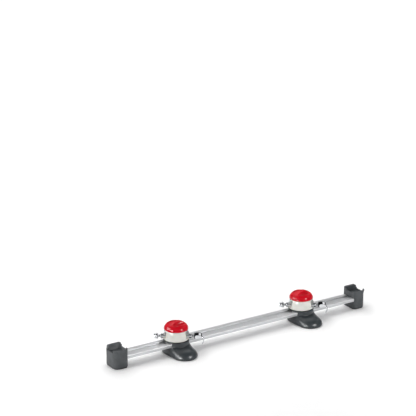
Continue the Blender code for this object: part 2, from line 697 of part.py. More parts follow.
def skewer_nut_mesh():
    """Round nut with six thumb flutes and a cone for the spring."""
    profile = [(0.0, CLAMP_FACE + 0.0036), (0.0056, CLAMP_FACE + 0.0034), (0.0072, CLAMP_FACE),
               (NUT_RADIUS - 0.0005, CLAMP_FACE), (NUT_RADIUS, CLAMP_FACE + 0.0005),
               (NUT_RADIUS, CLAMP_FACE + 0.0050), (NUT_RADIUS - 0.0014, CLAMP_FACE + 0.0085),
               (NUT_RADIUS - 0.0022, NUT_END - 0.0020), (NUT_RADIUS - 0.0040, NUT_END), (0.0, NUT_END)]
    body = turned(profile, 18)
    tools = [disc(ROD_RADIUS + GAP, CLAMP_FACE - 0.01, ROD_END + 0.0006, 12)]
    for i in range(6):
        a = math.tau * i / 6
        flute = disc(0.0035, CLAMP_FACE + 0.0065, NUT_END + 0.01, 8)
        tools.append(moved(flute, Matrix.Translation((0.0112 * math.cos(a), 0.0112 * math.sin(a), 0))))
    return moved(combine(body, tools), Matrix.Rotation(-math.pi / 2, 4, "Y"))


def spring_points():
    """Centre line of the conical spring along X: small coil at the axle, wide coil in the nut."""
    start, end = STUB_END + 0.0007, CLAMP_FACE + 0.0002
    steps = int(SPRING_TURNS * 10)
    points = []
    for i in range(steps + 1):
        share = i / steps
        radius = 0.0037 + 0.0020 * share
        a = math.tau * SPRING_TURNS * share
        points.append(Vector((start + (end - start) * share, radius * math.cos(a), radius * math.sin(a))))
    return points


def spring_mesh(side):
    """One unbroken tube that follows the spring's centre line."""
    curve = bpy.data.curves.new("spring", "CURVE")
    curve.dimensions = "3D"
    curve.bevel_depth = SPRING_WIRE / 2
    curve.bevel_resolution = 1
    curve.use_fill_caps = True
    points = [Vector((side * p.x, p.y, p.z + AXLE_Z)) for p in spring_points()]
    spline = curve.splines.new("POLY")
    spline.points.add(len(points) - 1)
    for target, point in zip(spline.points, points):
        target.co = (*point, 1.0)
    guide = bpy.data.objects.new("guide", curve)
    bpy.context.scene.collection.objects.link(guide)
    depsgraph = bpy.context.evaluated_depsgraph_get()
    mesh = bpy.data.meshes.new_from_object(guide.evaluated_get(depsgraph))
    bpy.data.objects.remove(guide, do_unlink=True)
    bm = bmesh.new()
    bm.from_mesh(mesh)
    return finish(bm)


def print_spring_gap():
    """Least clear gap between turns of the spring's wire."""
    points = spring_points()
    a_turn = 10
    least = min((points[i] - points[j]).length for i in range(len(points))
                for j in range(i + a_turn // 2, len(points)))
    print("spring gap in mm:", round((least - SPRING_WIRE) * 1000, 2))


# Assembly

def add_empty(name, parent, place, turn=0.0):
    item = bpy.data.objects.new(name, None)
    bpy.context.scene.collection.objects.link(item)
    item.parent = parent
    item.location = place
    item.rotation_euler = (0, 0, turn)
    return item


def add_piece(name, mesh, finish_name, parent, place=(0, 0, 0)):
    mesh = mesh if mesh.users == 0 else mesh.copy()
    mesh.name = name
    mesh.materials.clear()
    mesh.materials.append(material(finish_name))
    mesh.shade_smooth()
    mesh.set_sharp_from_angle(angle=math.radians(32))
    item = bpy.data.objects.new(name, mesh)
    bpy.context.scene.collection.objects.link(item)
    item.parent = parent
    item.location = place
    return item


def add_rail_and_feet(rack):
    add_piece("rail", rail_mesh(), "aluminium", rack)
    mirror = Matrix.Diagonal((-1, 1, 1, 1))
    foot, pad, plate, screw = foot_mesh(), foot_pad_mesh(), nut_plate_mesh(), foot_screw_mesh()
    for side, sign in (("right", 1), ("left", -1)):
        place = (sign * FOOT_INNER, 0, 0)
        for name, mesh, finish_name in (("foot", foot, "foot_plastic"), ("foot_pad", pad, "rubber"),
                                        ("nut_plate", plate, "zinc_steel")):
            shape = mesh.copy() if sign > 0 else moved(mesh.copy(), mirror)
            add_piece(f"{side}_{name}", shape, finish_name, rack, place)
        for number, along in enumerate(SCREW_PLACES, 1):
            spot = (sign * (FOOT_INNER + along), 0, 0)
            add_piece(f"{side}_foot_screw_{number}", screw.copy(), "zinc_steel", rack, spot)


def head_shapes():
    """Each head piece with its mesh, its finish and the empty that carries it."""
    return [
        ("base", base_mesh(), "base_plastic", "carriage"),
        ("base_pad", base_pad_mesh(), "rubber", "carriage"),
        ("friction_washer", friction_washer_mesh(), "nylon", "carriage"),
        ("collar", collar_mesh(), "ivory_plastic", "head"),
        ("bridge", bridge_mesh(), "chrome", "head"),
        ("axle_tube", axle_tube_mesh(), "chrome", "head"),
        ("stirrup", stirrup_mesh(), "zinc_steel", "head"),
        ("t_disc", t_disc_mesh(), "zinc_steel", "head"),
        ("thrust_washer", thrust_washer_mesh(), "zinc_steel", "head"),
        ("knob", knob_mesh(), "red_plastic", "knob"),
        ("knob_insert", knob_insert_mesh(), "brass", "knob"),
        ("skewer_rod", skewer_rod_mesh(), "zinc_steel", "axle"),
        ("cam_housing", cam_housing_mesh(), "dark_cast", "head"),
        ("cam_lever", cam_lever_mesh(), "chrome", "lever"),
        ("skewer_nut", skewer_nut_mesh(), "chrome", "axle"),
        ("nut_spring", spring_mesh(-1), "zinc_steel", "head"),
        ("cam_spring", spring_mesh(1), "zinc_steel", "head"),
    ]


def add_head(side, rack, shapes):
    carriage = add_empty(f"{side}_carriage_origin", rack, (HEAD_PLACES[side], 0, 0))
    head = add_empty(f"{side}_head_origin", carriage, (0, 0, 0), AXLE_TURN)
    knob = add_empty(f"{side}_knob_origin", head, (0, 0, 0), KNOB_TURNS[side])
    axle = add_empty(f"{side}_axle_origin", head, (0, 0, AXLE_Z))
    lever = add_empty(f"{side}_lever_origin", axle, (PIVOT, 0, 0))
    carriers = {"carriage": carriage, "head": head, "knob": knob, "axle": axle, "lever": lever}
    for name, mesh, finish_name, carrier in shapes:
        add_piece(f"{side}_{name}", mesh.copy(), finish_name, carriers[carrier])


clear_scene()
rack_origin = add_empty("rack_origin", None, (0, RACK_SHIFT_Y, 0))
add_rail_and_feet(rack_origin)
shapes_of_head = head_shapes()
for head_side in HEAD_PLACES:
    add_head(head_side, rack_origin, shapes_of_head)
print_spring_gap()
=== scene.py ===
import math

import bmesh
import bpy
from mathutils import Matrix, Vector


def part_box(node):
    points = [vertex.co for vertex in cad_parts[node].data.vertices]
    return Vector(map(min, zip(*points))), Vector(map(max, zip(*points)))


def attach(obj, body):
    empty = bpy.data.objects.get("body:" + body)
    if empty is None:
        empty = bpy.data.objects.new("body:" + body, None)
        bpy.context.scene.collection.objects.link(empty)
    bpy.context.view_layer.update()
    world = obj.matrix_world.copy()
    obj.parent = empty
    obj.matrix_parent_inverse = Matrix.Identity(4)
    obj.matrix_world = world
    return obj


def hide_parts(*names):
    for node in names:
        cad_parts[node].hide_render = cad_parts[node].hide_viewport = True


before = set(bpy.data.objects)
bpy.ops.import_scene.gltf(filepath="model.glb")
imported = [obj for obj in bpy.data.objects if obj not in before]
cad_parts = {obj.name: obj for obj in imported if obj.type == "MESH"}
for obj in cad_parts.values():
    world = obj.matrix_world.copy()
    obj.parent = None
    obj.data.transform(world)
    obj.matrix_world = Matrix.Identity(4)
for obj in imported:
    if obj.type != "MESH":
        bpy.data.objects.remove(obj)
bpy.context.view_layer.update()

# Rail: one length of 6063 aluminium, extruded with an open T-channel along its top and a hollow
# chamber on each side of it, clear anodised and sawn square. The clamps of the heads and the nut
# plates of the feet hold on under the channel's lips.
rail_low, rail_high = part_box("rail")
RAIL_LINE = (rail_low.y + rail_high.y) / 2
RAIL_HALF = rail_high.x
RAIL_WIDTH = rail_high.y - rail_low.y
RAIL_FOOT = rail_low.z
RAIL_TOP = rail_high.z
RAIL_CORNER = 0.0025
CHANNEL_MOUTH = 0.026
CHANNEL_WIDTH = 0.035
CHANNEL_FLOOR = 0.0333
LIP_THICK = 0.0024
LIP_ROUND = 0.0005
GROOVE_DEEP = 0.0012
GROOVE_MOUTH = 0.0022
GROOVE_BOTTOM = 0.00088
CHAMBER_IN = 0.0194
CHAMBER_OUT = 0.0246
CHAMBER_WALL = 0.002
CHAMBER_CORNER = 0.0012
FOOT_INNER = 0.445
SCREW_PLACES = (0.009, 0.026)   # from each foot's inner face
SCREW_HOLE = 0.0029
SCREW_DRILL = 0.0145            # length of the tool that cuts a screw hole
RAIL_DRILL_FROM = 0.020
LONG_TOOL_HALF = 0.5            # half length of a tool that runs past both ends of the rail


def deselect():
    if bpy.context.object and bpy.context.object.mode != "OBJECT":
        bpy.ops.object.mode_set(mode="OBJECT")
    bpy.ops.object.select_all(action="DESELECT")


def choose(piece):
    deselect()
    piece.select_set(True)
    bpy.context.view_layer.objects.active = piece


def arc(cx, cy, radius, start, end, steps):
    """Points on an arc, its angles in degrees."""
    angles = [math.radians(start + (end - start) * i / steps) for i in range(steps + 1)]
    return [(cx + radius * math.cos(a), cy + radius * math.sin(a)) for a in angles]


def rounded(x0, y0, x1, y1, radii, steps=8):
    """A rectangle with its own radius at each corner."""
    a, b, c, d = radii
    return (arc(x0 + a, y0 + a, a, 180, 270, steps) + arc(x1 - b, y0 + b, b, 270, 360, steps)
            + arc(x1 - c, y1 - c, c, 0, 90, steps) + arc(x0 + d, y1 - d, d, 90, 180, steps))


def draw(name, corners, closed=True):
    """Draw a line by extruding one corner after another; stays in edit mode with it all selected."""
    deselect()
    bpy.ops.mesh.primitive_plane_add(size=0.001)
    piece = bpy.context.object
    piece.name = piece.data.name = name
    bpy.ops.object.mode_set(mode="EDIT")
    bpy.ops.mesh.merge(type="CENTER")
    bpy.ops.transform.translate(value=Vector(corners[0]))
    for here, there in zip(corners, corners[1:]):
        step = Vector(there) - Vector(here)
        bpy.ops.mesh.extrude_vertices_move(TRANSFORM_OT_translate={"value": step})
    if closed:
        mesh = bmesh.from_edit_mesh(piece.data)
        for vert in mesh.verts:
            vert.select = len(vert.link_edges) == 1
        mesh.select_flush_mode()
        bmesh.update_edit_mesh(piece.data)
        bpy.ops.mesh.edge_face_add()
    bpy.ops.mesh.select_all(action="SELECT")
    return piece


def close_up(piece):
    """Merge doubles, point the faces outwards and leave edit mode."""
    bpy.ops.mesh.select_all(action="SELECT")
    bpy.ops.mesh.remove_doubles(threshold=0.000002)
    bpy.ops.mesh.normals_make_consistent(inside=False)
    bpy.ops.object.mode_set(mode="OBJECT")
    return piece


def extruded(name, corners, sweep):
    """Fill a drawn outline and extrude it straight along sweep."""
    piece = draw(name, corners)
    bpy.ops.mesh.edge_face_add()
    bpy.ops.mesh.extrude_region_move(TRANSFORM_OT_translate={"value": sweep})
    return close_up(piece)


def drill(radius, low, length, x=0.0, sides=24):
    """An upright cutting tool, round or with a few flat sides."""
    rim = arc(x, 0, radius, 0, 360 - 360 / sides, sides - 1)
    return extruded("tool", [(px, py, low) for px, py in rim], (0, 0, length))


def apply(piece, modifier):
    choose(piece)
    bpy.ops.object.modifier_apply(modifier=modifier.name)
    return piece


def carve(piece, tools, how="DIFFERENCE"):
    """Cut, join or intersect a piece with tools, which are used up."""
    for tool in tools:
        modifier = piece.modifiers.new("carve", "BOOLEAN")
        modifier.operation = how
        modifier.solver = "EXACT"
        modifier.object = tool
        apply(piece, modifier)
        bpy.data.objects.remove(tool, do_unlink=True)
    return piece


def shade(piece, angle):
    """Shade smooth but for edges sharper than angle, with flat faces kept flat."""
    choose(piece)
    bpy.ops.object.shade_smooth_by_angle(angle=math.radians(angle))
    modifier = piece.modifiers.new("flats", "WEIGHTED_NORMAL")
    modifier.weight = 100
    modifier.keep_sharp = True
    return apply(piece, modifier)


def settle(piece, place):
    """Move a finished piece to its place in the frame, with its object left at the origin."""
    piece.matrix_world = place
    choose(piece)
    bpy.ops.object.transform_apply(location=True, rotation=True, scale=True)
    if place.determinant() < 0:
        bpy.ops.object.mode_set(mode="EDIT")
        close_up(piece)
    return piece


def fit(piece, place, finish, body, node):
    """Place a piece, give it its finish, and let it stand for its CAD node."""
    settle(piece, place)
    piece.data.materials.clear()
    piece.data.materials.append(finish)
    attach(piece, body)
    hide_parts(node)
    return piece


def paint(hex_color):
    """An sRGB hex value as the linear colour that shaders use."""
    values = [int(hex_color[i:i + 2], 16) / 255 for i in (1, 3, 5)]
    return (*(v / 12.92 if v <= 0.04045 else ((v + 0.055) / 1.055) ** 2.4 for v in values), 1.0)


def per_metre(millimetres):
    """A pattern's scale, to the nearest whole number, from the real size of its grains or spacing."""
    return float(round(1000 / millimetres))


def add_node(finish, kind, settings, links, feeds=None, output=0):
    """Add one node and return one of its outputs. Settings are its properties, the values of its
    sockets, or a ramp's tones by their places. Links feed its sockets from other nodes, and feeds
    names the socket of the finish's shader that it drives."""
    node = finish.node_tree.nodes.new(kind)
    for name, value in settings.items():
        if name == "tones":
            stops = node.color_ramp.elements
            while len(stops) < len(value):
                stops.new(1.0)
            for stop, (place, tone) in zip(stops, value.items()):
                stop.position = place
                stop.color = paint(tone)
        elif isinstance(name, str) and hasattr(node, name):
            setattr(node, name, value)
        else:
            node.inputs[name].default_value = value
    for name, source in links.items():
        finish.node_tree.links.new(source, node.inputs[name])
    if feeds:
        shader = finish.node_tree.nodes["Principled BSDF"]
        finish.node_tree.links.new(node.outputs[output], shader.inputs[feeds])
    return node.outputs[output]


def new_finish(name, **sockets):
    """A material with values on its shader's own sockets, and the place that its patterns read."""
    finish = bpy.data.materials.new(name)
    finish.use_nodes = True
    shader = finish.node_tree.nodes["Principled BSDF"]
    for socket, value in sockets.items():
        shader.inputs[socket.replace("_", " ")].default_value = value
    return finish, add_node(finish, "ShaderNodeTexCoord", {}, {}, output="Object")


# Clear anodised 6063, as extruded: a soft silver grey with die lines that run the whole length.
# Real die lines are about 0.1 mm apart; these are 0.8 mm, so that they show.
anodised, place = new_finish("clear_anodised_aluminium", Metallic=0.60, Roughness=0.38)
streaks = (per_metre(333), per_metre(0.8), per_metre(0.8))
drawn_out = add_node(anodised, "ShaderNodeMapping", {"Scale": streaks}, {"Vector": place})
lines = add_node(anodised, "ShaderNodeTexNoise", {"Scale": 1.0, "Detail": 3.0, "Roughness": 0.55},
                 {"Vector": drawn_out})
cloud = add_node(anodised, "ShaderNodeTexNoise", {"Scale": per_metre(71.4), "Detail": 2.0}, {"Vector": place})
add_node(anodised, "ShaderNodeValToRGB", {"tones": {0.35: "#c6c7c9", 0.65: "#dcddde"}},
         {"Fac": lines}, "Base Color")
add_node(anodised, "ShaderNodeMapRange", {"To Min": 0.34, "To Max": 0.42}, {"Value": cloud}, "Roughness")
add_node(anodised, "ShaderNodeBump", {"Strength": 0.05, "Distance": 0.00004}, {"Height": lines}, "Normal")

half = RAIL_WIDTH / 2
middle = (RAIL_FOOT + RAIL_TOP) / 2
under_lip = RAIL_TOP - LIP_THICK
lip_end = CHANNEL_MOUTH / 2 + LIP_ROUND
section = (arc(half - RAIL_CORNER, RAIL_FOOT + RAIL_CORNER, RAIL_CORNER, 270, 360, 8)
           + [(half, middle - GROOVE_MOUTH / 2), (half - GROOVE_DEEP, middle - GROOVE_BOTTOM / 2),
              (half - GROOVE_DEEP, middle + GROOVE_BOTTOM / 2), (half, middle + GROOVE_MOUTH / 2)]
           + arc(half - RAIL_CORNER, RAIL_TOP - RAIL_CORNER, RAIL_CORNER, 0, 90, 8)
           + arc(lip_end, RAIL_TOP - LIP_ROUND, LIP_ROUND, 90, 180, 3)
           + arc(lip_end, under_lip + LIP_ROUND, LIP_ROUND, 180, 270, 3)
           + [(CHANNEL_WIDTH / 2, under_lip), (CHANNEL_WIDTH / 2, CHANNEL_FLOOR)])
section += [(-y, z) for y, z in reversed(section)]
rail = extruded("rail_extrusion", [(-RAIL_HALF, y, z) for y, z in section], (2 * RAIL_HALF, 0, 0))
tools = []
for side in (-1, 1):
    near, far = sorted((side * CHAMBER_IN, side * CHAMBER_OUT))
    chamber = rounded(near, RAIL_FOOT + CHAMBER_WALL, far, RAIL_TOP - CHAMBER_WALL, (CHAMBER_CORNER,) * 4, 4)
    tools.append(extruded("tool", [(-LONG_TOOL_HALF, y, z) for y, z in chamber], (2 * LONG_TOOL_HALF, 0, 0)))
    for along in SCREW_PLACES:
        tools.append(drill(SCREW_HOLE, RAIL_DRILL_FROM, SCREW_DRILL, side * (FOOT_INNER + along)))
carve(rail, tools)
shade(rail, 24)
ON_RAIL = Matrix.Translation((0, RAIL_LINE, 0))
fit(rail, ON_RAIL, anodised, "frame", "rail")

# Feet: two hollow mouldings in dark grey glass-filled nylon, each pushed over one end of the rail.
# The open top between the rear ridge and the front rim takes a tie-down strap; the front outer
# corner flares out to a lip at the rim, and the underside is open, with walls and ribs.
SIDES = ("left", "right")
FOOT_LENGTH = 0.0505
FOOT_FRONT = 0.0315
FOOT_REAR = 0.0305
FOOT_RIM = 0.064
FOOT_RIDGE = 0.068
FOOT_WALL = 0.0042
INNER_FRONT_CORNER = 0.012
OUTER_REAR_CORNER = 0.007
INNER_REAR_CORNER = 0.005
FLARE_START = 0.048             # below it the front outer corner is full, above it the lip juts out
FLARE_END = 0.0645
FULL_CORNER = 0.020
LIP_CORNER = 0.0135
RIDGE_FRONT = 0.0195
LEDGE = 0.0570                  # beside the ridge, over the outer wall
LEDGE_BEVEL = 0.0015
RIDGE_ROOT = 0.030
RIDGE_LENGTH = 0.0465
RIDGE_ROUND = 0.006
STRAP_FLOOR = 0.050
INNER_NOTCH = 0.058             # floors of the strap's way through the side walls
INNER_NOTCH_ENDS = (-0.018, 0.014)
OUTER_NOTCH = 0.0535
OUTER_NOTCH_FRONT = -0.0175
SOCKET_DEEP = 0.0345
SOLE_TOP = 0.0029
SOLE_INSET = 0.0014
HOLLOW_ROOF = 0.0242
RIB_HALF = 0.0015
RIB_PLACE = 0.0075
POCKET_CORNER = 0.003
OUTER_POCKET_CORNER = 0.0150     # of the pocket under the flare
SLACK = 0.0003                  # clearance between pieces that touch
OVER = 0.01                     # how far a cutting tool reaches past a piece
BITE = 0.001                    # how far it reaches into a hollow that is cut already


def built_up(name, levels):
    """Extrude a filled circle from level to level, and lay each level on its own outline."""
    deselect()
    bpy.ops.mesh.primitive_circle_add(vertices=len(levels[0]), radius=0.05, fill_type="NGON")
    piece = bpy.context.object
    piece.name = piece.data.name = name
    bpy.ops.object.mode_set(mode="EDIT")
    bpy.ops.mesh.select_all(action="SELECT")
    mesh = bmesh.from_edit_mesh(piece.data)
    rank = {vert.co.copy().freeze(): i for i, vert in enumerate(mesh.faces[:][0].verts)}
    for number, level in enumerate(levels):
        if number:
            bpy.ops.mesh.extrude_region_move()
        mesh = bmesh.from_edit_mesh(piece.data)
        new_rank = {}
        for vert in [v for v in mesh.verts if v.select]:
            place = rank[vert.co.copy().freeze()]
            vert.co = level[place]
            new_rank[vert.co.copy().freeze()] = place
        rank = new_rank
        bmesh.update_edit_mesh(piece.data)
    return close_up(piece)


def block(low, high):
    """A cube primitive stretched between two corners, as a cutting tool."""
    deselect()
    centre = (Vector(low) + Vector(high)) / 2
    bpy.ops.mesh.primitive_cube_add(size=1, location=centre)
    tool = bpy.context.object
    tool.scale = Vector(high) - Vector(low)
    bpy.ops.object.transform_apply(location=True, rotation=True, scale=True)
    return tool


def rail_tool(near, far):
    """A block that clears the rail, from x = near to x = far."""
    side = RAIL_WIDTH / 2 + SLACK
    return block((near, -side, RAIL_FOOT - SLACK), (far, side, RAIL_TOP + SLACK))


def ease_edges(piece, width, segments=3, angle=35):
    """Round the edges that are sharper than angle, and shade the rest smooth. The clamp narrows the whole
    bevel to suit the piece's shortest edges, so the width is a limit: on a carved piece it nears zero."""
    modifier = piece.modifiers.new("ease", "BEVEL")
    modifier.width = width
    modifier.segments = segments
    modifier.limit_method = "ANGLE"
    modifier.angle_limit = math.radians(angle)
    modifier.miter_outer = "MITER_ARC"
    modifier.use_clamp_overlap = True
    apply(piece, modifier)
    return shade(piece, angle)


def fit_pair(piece, places, finish, body, node):
    """Fit a copy of a piece, with its own mesh, on each side, and take the piece itself away."""
    for side in SIDES:
        copy = piece.copy()
        copy.data = piece.data.copy()
        copy.name = copy.data.name = f"{side}_{piece.name}"
        bpy.context.scene.collection.objects.link(copy)
        carrier = body if body == "frame" else f"{side}_{body}"
        fit(copy, places[side], finish, carrier, f"{side}_{node}")
    bpy.data.objects.remove(piece, do_unlink=True)


def flared(z):
    """Radius of the foot's front outer corner: tight at the rim, where it juts out as a lip."""
    share = min(max((z - FLARE_START) / (FLARE_END - FLARE_START), 0.0), 1.0)
    return FULL_CORNER - (FULL_CORNER - LIP_CORNER) * share * share * (3 - 2 * share)


def foot_outline(inset, outer_front):
    """The foot seen from above, drawn in by inset."""
    corners = (INNER_FRONT_CORNER, outer_front, OUTER_REAR_CORNER, INNER_REAR_CORNER)
    return rounded(inset, -FOOT_FRONT + inset, FOOT_LENGTH - inset, FOOT_REAR - inset,
                   [corner - inset for corner in corners])


# Glass-filled nylon, spark-eroded texture: a dull slate grey, a little lighter where it is rubbed.
# The real grain is 0.1 mm; here it is 0.7 mm, so that it shows.
nylon, place = new_finish("glass_filled_nylon", Roughness=0.52, IOR=1.53)
grain = add_node(nylon, "ShaderNodeTexNoise", {"Scale": per_metre(0.7143), "Detail": 2.0}, {"Vector": place})
drift = add_node(nylon, "ShaderNodeTexNoise", {"Scale": per_metre(22.2), "Detail": 3.0}, {"Vector": place})
add_node(nylon, "ShaderNodeValToRGB", {"tones": {0.35: "#3a3e41", 0.65: "#44484b"}},
         {"Fac": drift}, "Base Color")
add_node(nylon, "ShaderNodeMapRange", {"To Min": 0.44, "To Max": 0.62}, {"Value": grain}, "Roughness")
add_node(nylon, "ShaderNodeBump", {"Strength": 0.30, "Distance": 0.0001}, {"Height": grain}, "Normal")

# Heights of the foot's outlines, each with how far it is drawn in
rings = [(SOLE_TOP, SOLE_INSET), (0.0040, 0.0005), (0.0053, 0), (0.020, 0), (0.036, 0), (FLARE_START, 0)]
rings += [(FLARE_START + (FLARE_END - FLARE_START) * i / 8, 0) for i in range(1, 9)]
rings += [(0.0667, 0), (0.0676, 0.0003), (FOOT_RIDGE, 0.0012)]
levels = [[(x, y, z) for x, y in foot_outline(inset, flared(z))] for z, inset in rings]
foot = built_up("foot_moulding", levels)
FAR, ABOVE = FOOT_LENGTH + OVER, FOOT_RIDGE + OVER
strap_well = rounded(FOOT_WALL, -FOOT_FRONT + FOOT_WALL, FOOT_LENGTH - FOOT_WALL, RIDGE_FRONT,
                     (0.008, 0.010, 0.003, 0.003))
near, far = INNER_NOTCH_ENDS
inner_notch = rounded(near, INNER_NOTCH, far, ABOVE, (0.004, 0.004, 0.001, 0.001), 5)
outer_notch = rounded(OUTER_NOTCH_FRONT, OUTER_NOTCH, RIDGE_FRONT, ABOVE, (0.006, 0.001, 0.001, 0.001), 5)
ridge_end = ([(RIDGE_ROOT, ABOVE), (RIDGE_ROOT, FOOT_RIDGE + 0.0001)]
             + arc(RIDGE_LENGTH - RIDGE_ROUND, FOOT_RIDGE - RIDGE_ROUND, RIDGE_ROUND, 84, 0, 8)
             + [(RIDGE_LENGTH, LEDGE + LEDGE_BEVEL), (RIDGE_LENGTH + LEDGE_BEVEL, LEDGE), (FAR, LEDGE),
                (FAR, ABOVE)])
tools = [
    block((-OVER, -FOOT_FRONT - OVER, FOOT_RIM), (FAR, RIDGE_FRONT - 0.0002, ABOVE)),
    extruded("tool", [(x, y, STRAP_FLOOR) for x, y in strap_well], (0, 0, ABOVE - STRAP_FLOOR)),
    extruded("tool", [(-OVER, y, z) for y, z in inner_notch], (OVER + FOOT_WALL + BITE, 0, 0)),
    extruded("tool", [(FOOT_LENGTH - FOOT_WALL - BITE, y, z) for y, z in outer_notch], (2 * OVER, 0, 0)),
    extruded("tool", [(x, RIDGE_FRONT - BITE, z) for x, z in ridge_end], (0, 3 * OVER, 0)),
    rail_tool(-OVER, SOCKET_DEEP),
]
mid_rib = (SCREW_PLACES[0] + SCREW_PLACES[1]) / 2
columns = ((FOOT_WALL, mid_rib - RIB_HALF), (mid_rib + RIB_HALF, FOOT_LENGTH - FOOT_WALL))
rows = ((-FOOT_FRONT + FOOT_WALL, -RIB_PLACE - RIB_HALF), (-RIB_PLACE + RIB_HALF, RIB_PLACE - RIB_HALF),
        (RIB_PLACE + RIB_HALF, FOOT_REAR - FOOT_WALL))
for x0, x1 in columns:
    for y0, y1 in rows:
        under_flare = (x0, y0) == (columns[1][0], rows[0][0])
        outer_front = OUTER_POCKET_CORNER if under_flare else POCKET_CORNER
        pocket = rounded(x0, y0, x1, y1, (POCKET_CORNER, outer_front, POCKET_CORNER, POCKET_CORNER), 5)
        tools.append(extruded("tool", [(x, y, -OVER) for x, y in pocket], (0, 0, HOLLOW_ROOF + OVER)))
for along in SCREW_PLACES:
    tools.append(drill(SCREW_HOLE, HOLLOW_ROOF - OVER, SCREW_DRILL, along))
carve(foot, tools)
ease_edges(foot, 0.0007)
RIGHT_END = ON_RAIL @ Matrix.Translation((FOOT_INNER, 0, 0))
END_PLACES = {"right": RIGHT_END, "left": Matrix.Diagonal((-1, 1, 1, 1)) @ RIGHT_END}
fit_pair(foot, END_PLACES, nylon, "frame", "foot")

# Foot soles: EPDM rubber plates, moulded to the outline of the feet and stuck under them. Three
# grip grooves run across each.
SOLE_THICK = 0.0026
SOLE_GROOVES = (-0.016, 0.0, 0.015)
SOLE_GROOVE_HALF = 0.0015
SOLE_GROOVE_DEEP = 0.0010

# Moulded rubber: near black and dull, dusted grey in specks of 5 or 6 mm.
rubber, place = new_finish("moulded_rubber", Roughness=0.80, IOR=1.52)
dust = add_node(rubber, "ShaderNodeTexNoise", {"Scale": per_metre(5.56), "Detail": 4.0}, {"Vector": place})
add_node(rubber, "ShaderNodeValToRGB", {"tones": {0.35: "#18181a", 0.65: "#26272a"}},
         {"Fac": dust}, "Base Color")
add_node(rubber, "ShaderNodeMapRange", {"To Min": 0.70, "To Max": 0.88}, {"Value": dust}, "Roughness")
add_node(rubber, "ShaderNodeBump", {"Strength": 0.2, "Distance": 0.0001}, {"Height": dust}, "Normal")

outline = [(x, y, 0) for x, y in foot_outline(SOLE_INSET, FULL_CORNER)]
sole = extruded("foot_sole", outline, (0, 0, SOLE_THICK))
carve(sole, [block((-OVER, y - SOLE_GROOVE_HALF, -OVER), (FAR, y + SOLE_GROOVE_HALF, SOLE_GROOVE_DEEP))
             for y in SOLE_GROOVES])
ease_edges(sole, 0.0003, segments=2)
fit_pair(sole, END_PLACES, rubber, "frame", "foot_pad")

# Foot fixings: in each foot two pan head screws, cold formed from steel and zinc plated, go up
# through the foot and the rail into a tapped plate in the channel. These keep their CAD shapes.


def dress(finish, *names):
    """Give CAD nodes that stay their finish, on both sides."""
    for side in SIDES:
        for name in names:
            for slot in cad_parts[f"{side}_{name}"].material_slots:
                slot.material = finish


# Bright zinc plate: a pale blue-grey metal with a fine spangle and a haze from its last dip.
zinc, place = new_finish("bright_zinc_plate", Metallic=1.0, Roughness=0.36)
spangle = add_node(zinc, "ShaderNodeTexVoronoi", {"Scale": per_metre(2.38)}, {"Vector": place})
haze = add_node(zinc, "ShaderNodeTexNoise", {"Scale": per_metre(6.25), "Detail": 3.0}, {"Vector": place})
add_node(zinc, "ShaderNodeValToRGB", {"tones": {0.2: "#b4b8bc", 0.8: "#c6c9cb"}},
         {"Fac": spangle}, "Base Color")
add_node(zinc, "ShaderNodeMapRange", {"To Min": 0.28, "To Max": 0.46}, {"Value": haze}, "Roughness")

dress(zinc, "nut_plate", "foot_screw_1", "foot_screw_2")

# Head bases: one semi-gloss slate nylon moulding for each head. A round neck rises from a domed toe
# that reaches forward over the floor; the rail passes through a tunnel and the collar's hub
# turns in a seat on top. The underside is open and ribbed.
HEAD_X = {side: sum(corner.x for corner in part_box(f"{side}_base")) / 2 for side in SIDES}
BASE_RADIUS = 0.0472
BASE_TOP_RADIUS = 0.0442
TOE_OFFSET = 0.0530
TOE_RADIUS = 0.0422
TOE_HIGH = 0.029
TOE_ROUNDNESS = 2.3
TOE_LEVELS = (0.0040, 0.0070, 0.0100, 0.0130, 0.0155, 0.0180, 0.0200, 0.0220, 0.0238, 0.0254, 0.0266,
              0.0275, 0.0282, 0.0287)
NECK_TOP = 0.043
# Radius and height, from the fillet over the toe up to the eased top edge
NECK_PROFILE = ((0.0450, 0.02895), (0.0443, 0.0293), (0.0438, 0.0300), (0.0435, 0.0312), (0.0431, 0.0345),
                (0.0424, 0.0400), (0.0422, 0.0420), (0.0419, 0.0427), (0.0412, NECK_TOP))
PAD_THICK = 0.002
BASE_WALL = 0.004
BASE_ROOF = 0.0236
ROOF_DROP = 0.0008              # how much lower the hollow's dome is than the outside's
CROSS_RIBS = (-0.066, -0.040, -0.014, 0.014)
CROSS_RIB_HALF = 0.0013
RIB_TOOL = 0.2                  # half length of the tools that leave the ribs standing
TUNNEL_HALF = 0.08
HUB_RADIUS = 0.0319
SEAT_ROOM = 0.0004              # clearance round the collar's hub
SEAT_SINK = 0.0002
AROUND = [math.tau * i / 120 for i in range(120)]


def reach(angle, rear, front):
    """How far the tangent outline round a rear and a front circle reaches in one direction."""
    angle = min(angle, math.tau - angle)
    touch = math.acos((rear - front) / TOE_OFFSET)
    turn = math.atan2(front * math.sin(touch), TOE_OFFSET + front * math.cos(touch))
    if angle < turn:
        return TOE_OFFSET * math.cos(angle) + math.sqrt(front ** 2 - (TOE_OFFSET * math.sin(angle)) ** 2)
    return rear / math.cos(angle - touch) if angle < touch else rear


def egg(rear, front, z):
    """One level of the base, with the toe forward."""
    spans = [(a, reach(a, rear, front)) for a in AROUND]
    return [(r * math.sin(a), -r * math.cos(a), z) for a, r in spans]


def ring(radius, z):
    """One level of the neck."""
    return [(radius * math.sin(a), -radius * math.cos(a), z) for a in AROUND]


def dome(z, shrink=0.0):
    """The toe's plan radius at a height."""
    share = min(z / (TOE_HIGH - shrink), 1.0)
    return (TOE_RADIUS - shrink) * (1.0 - share ** TOE_ROUNDNESS) ** (1.0 / TOE_ROUNDNESS)


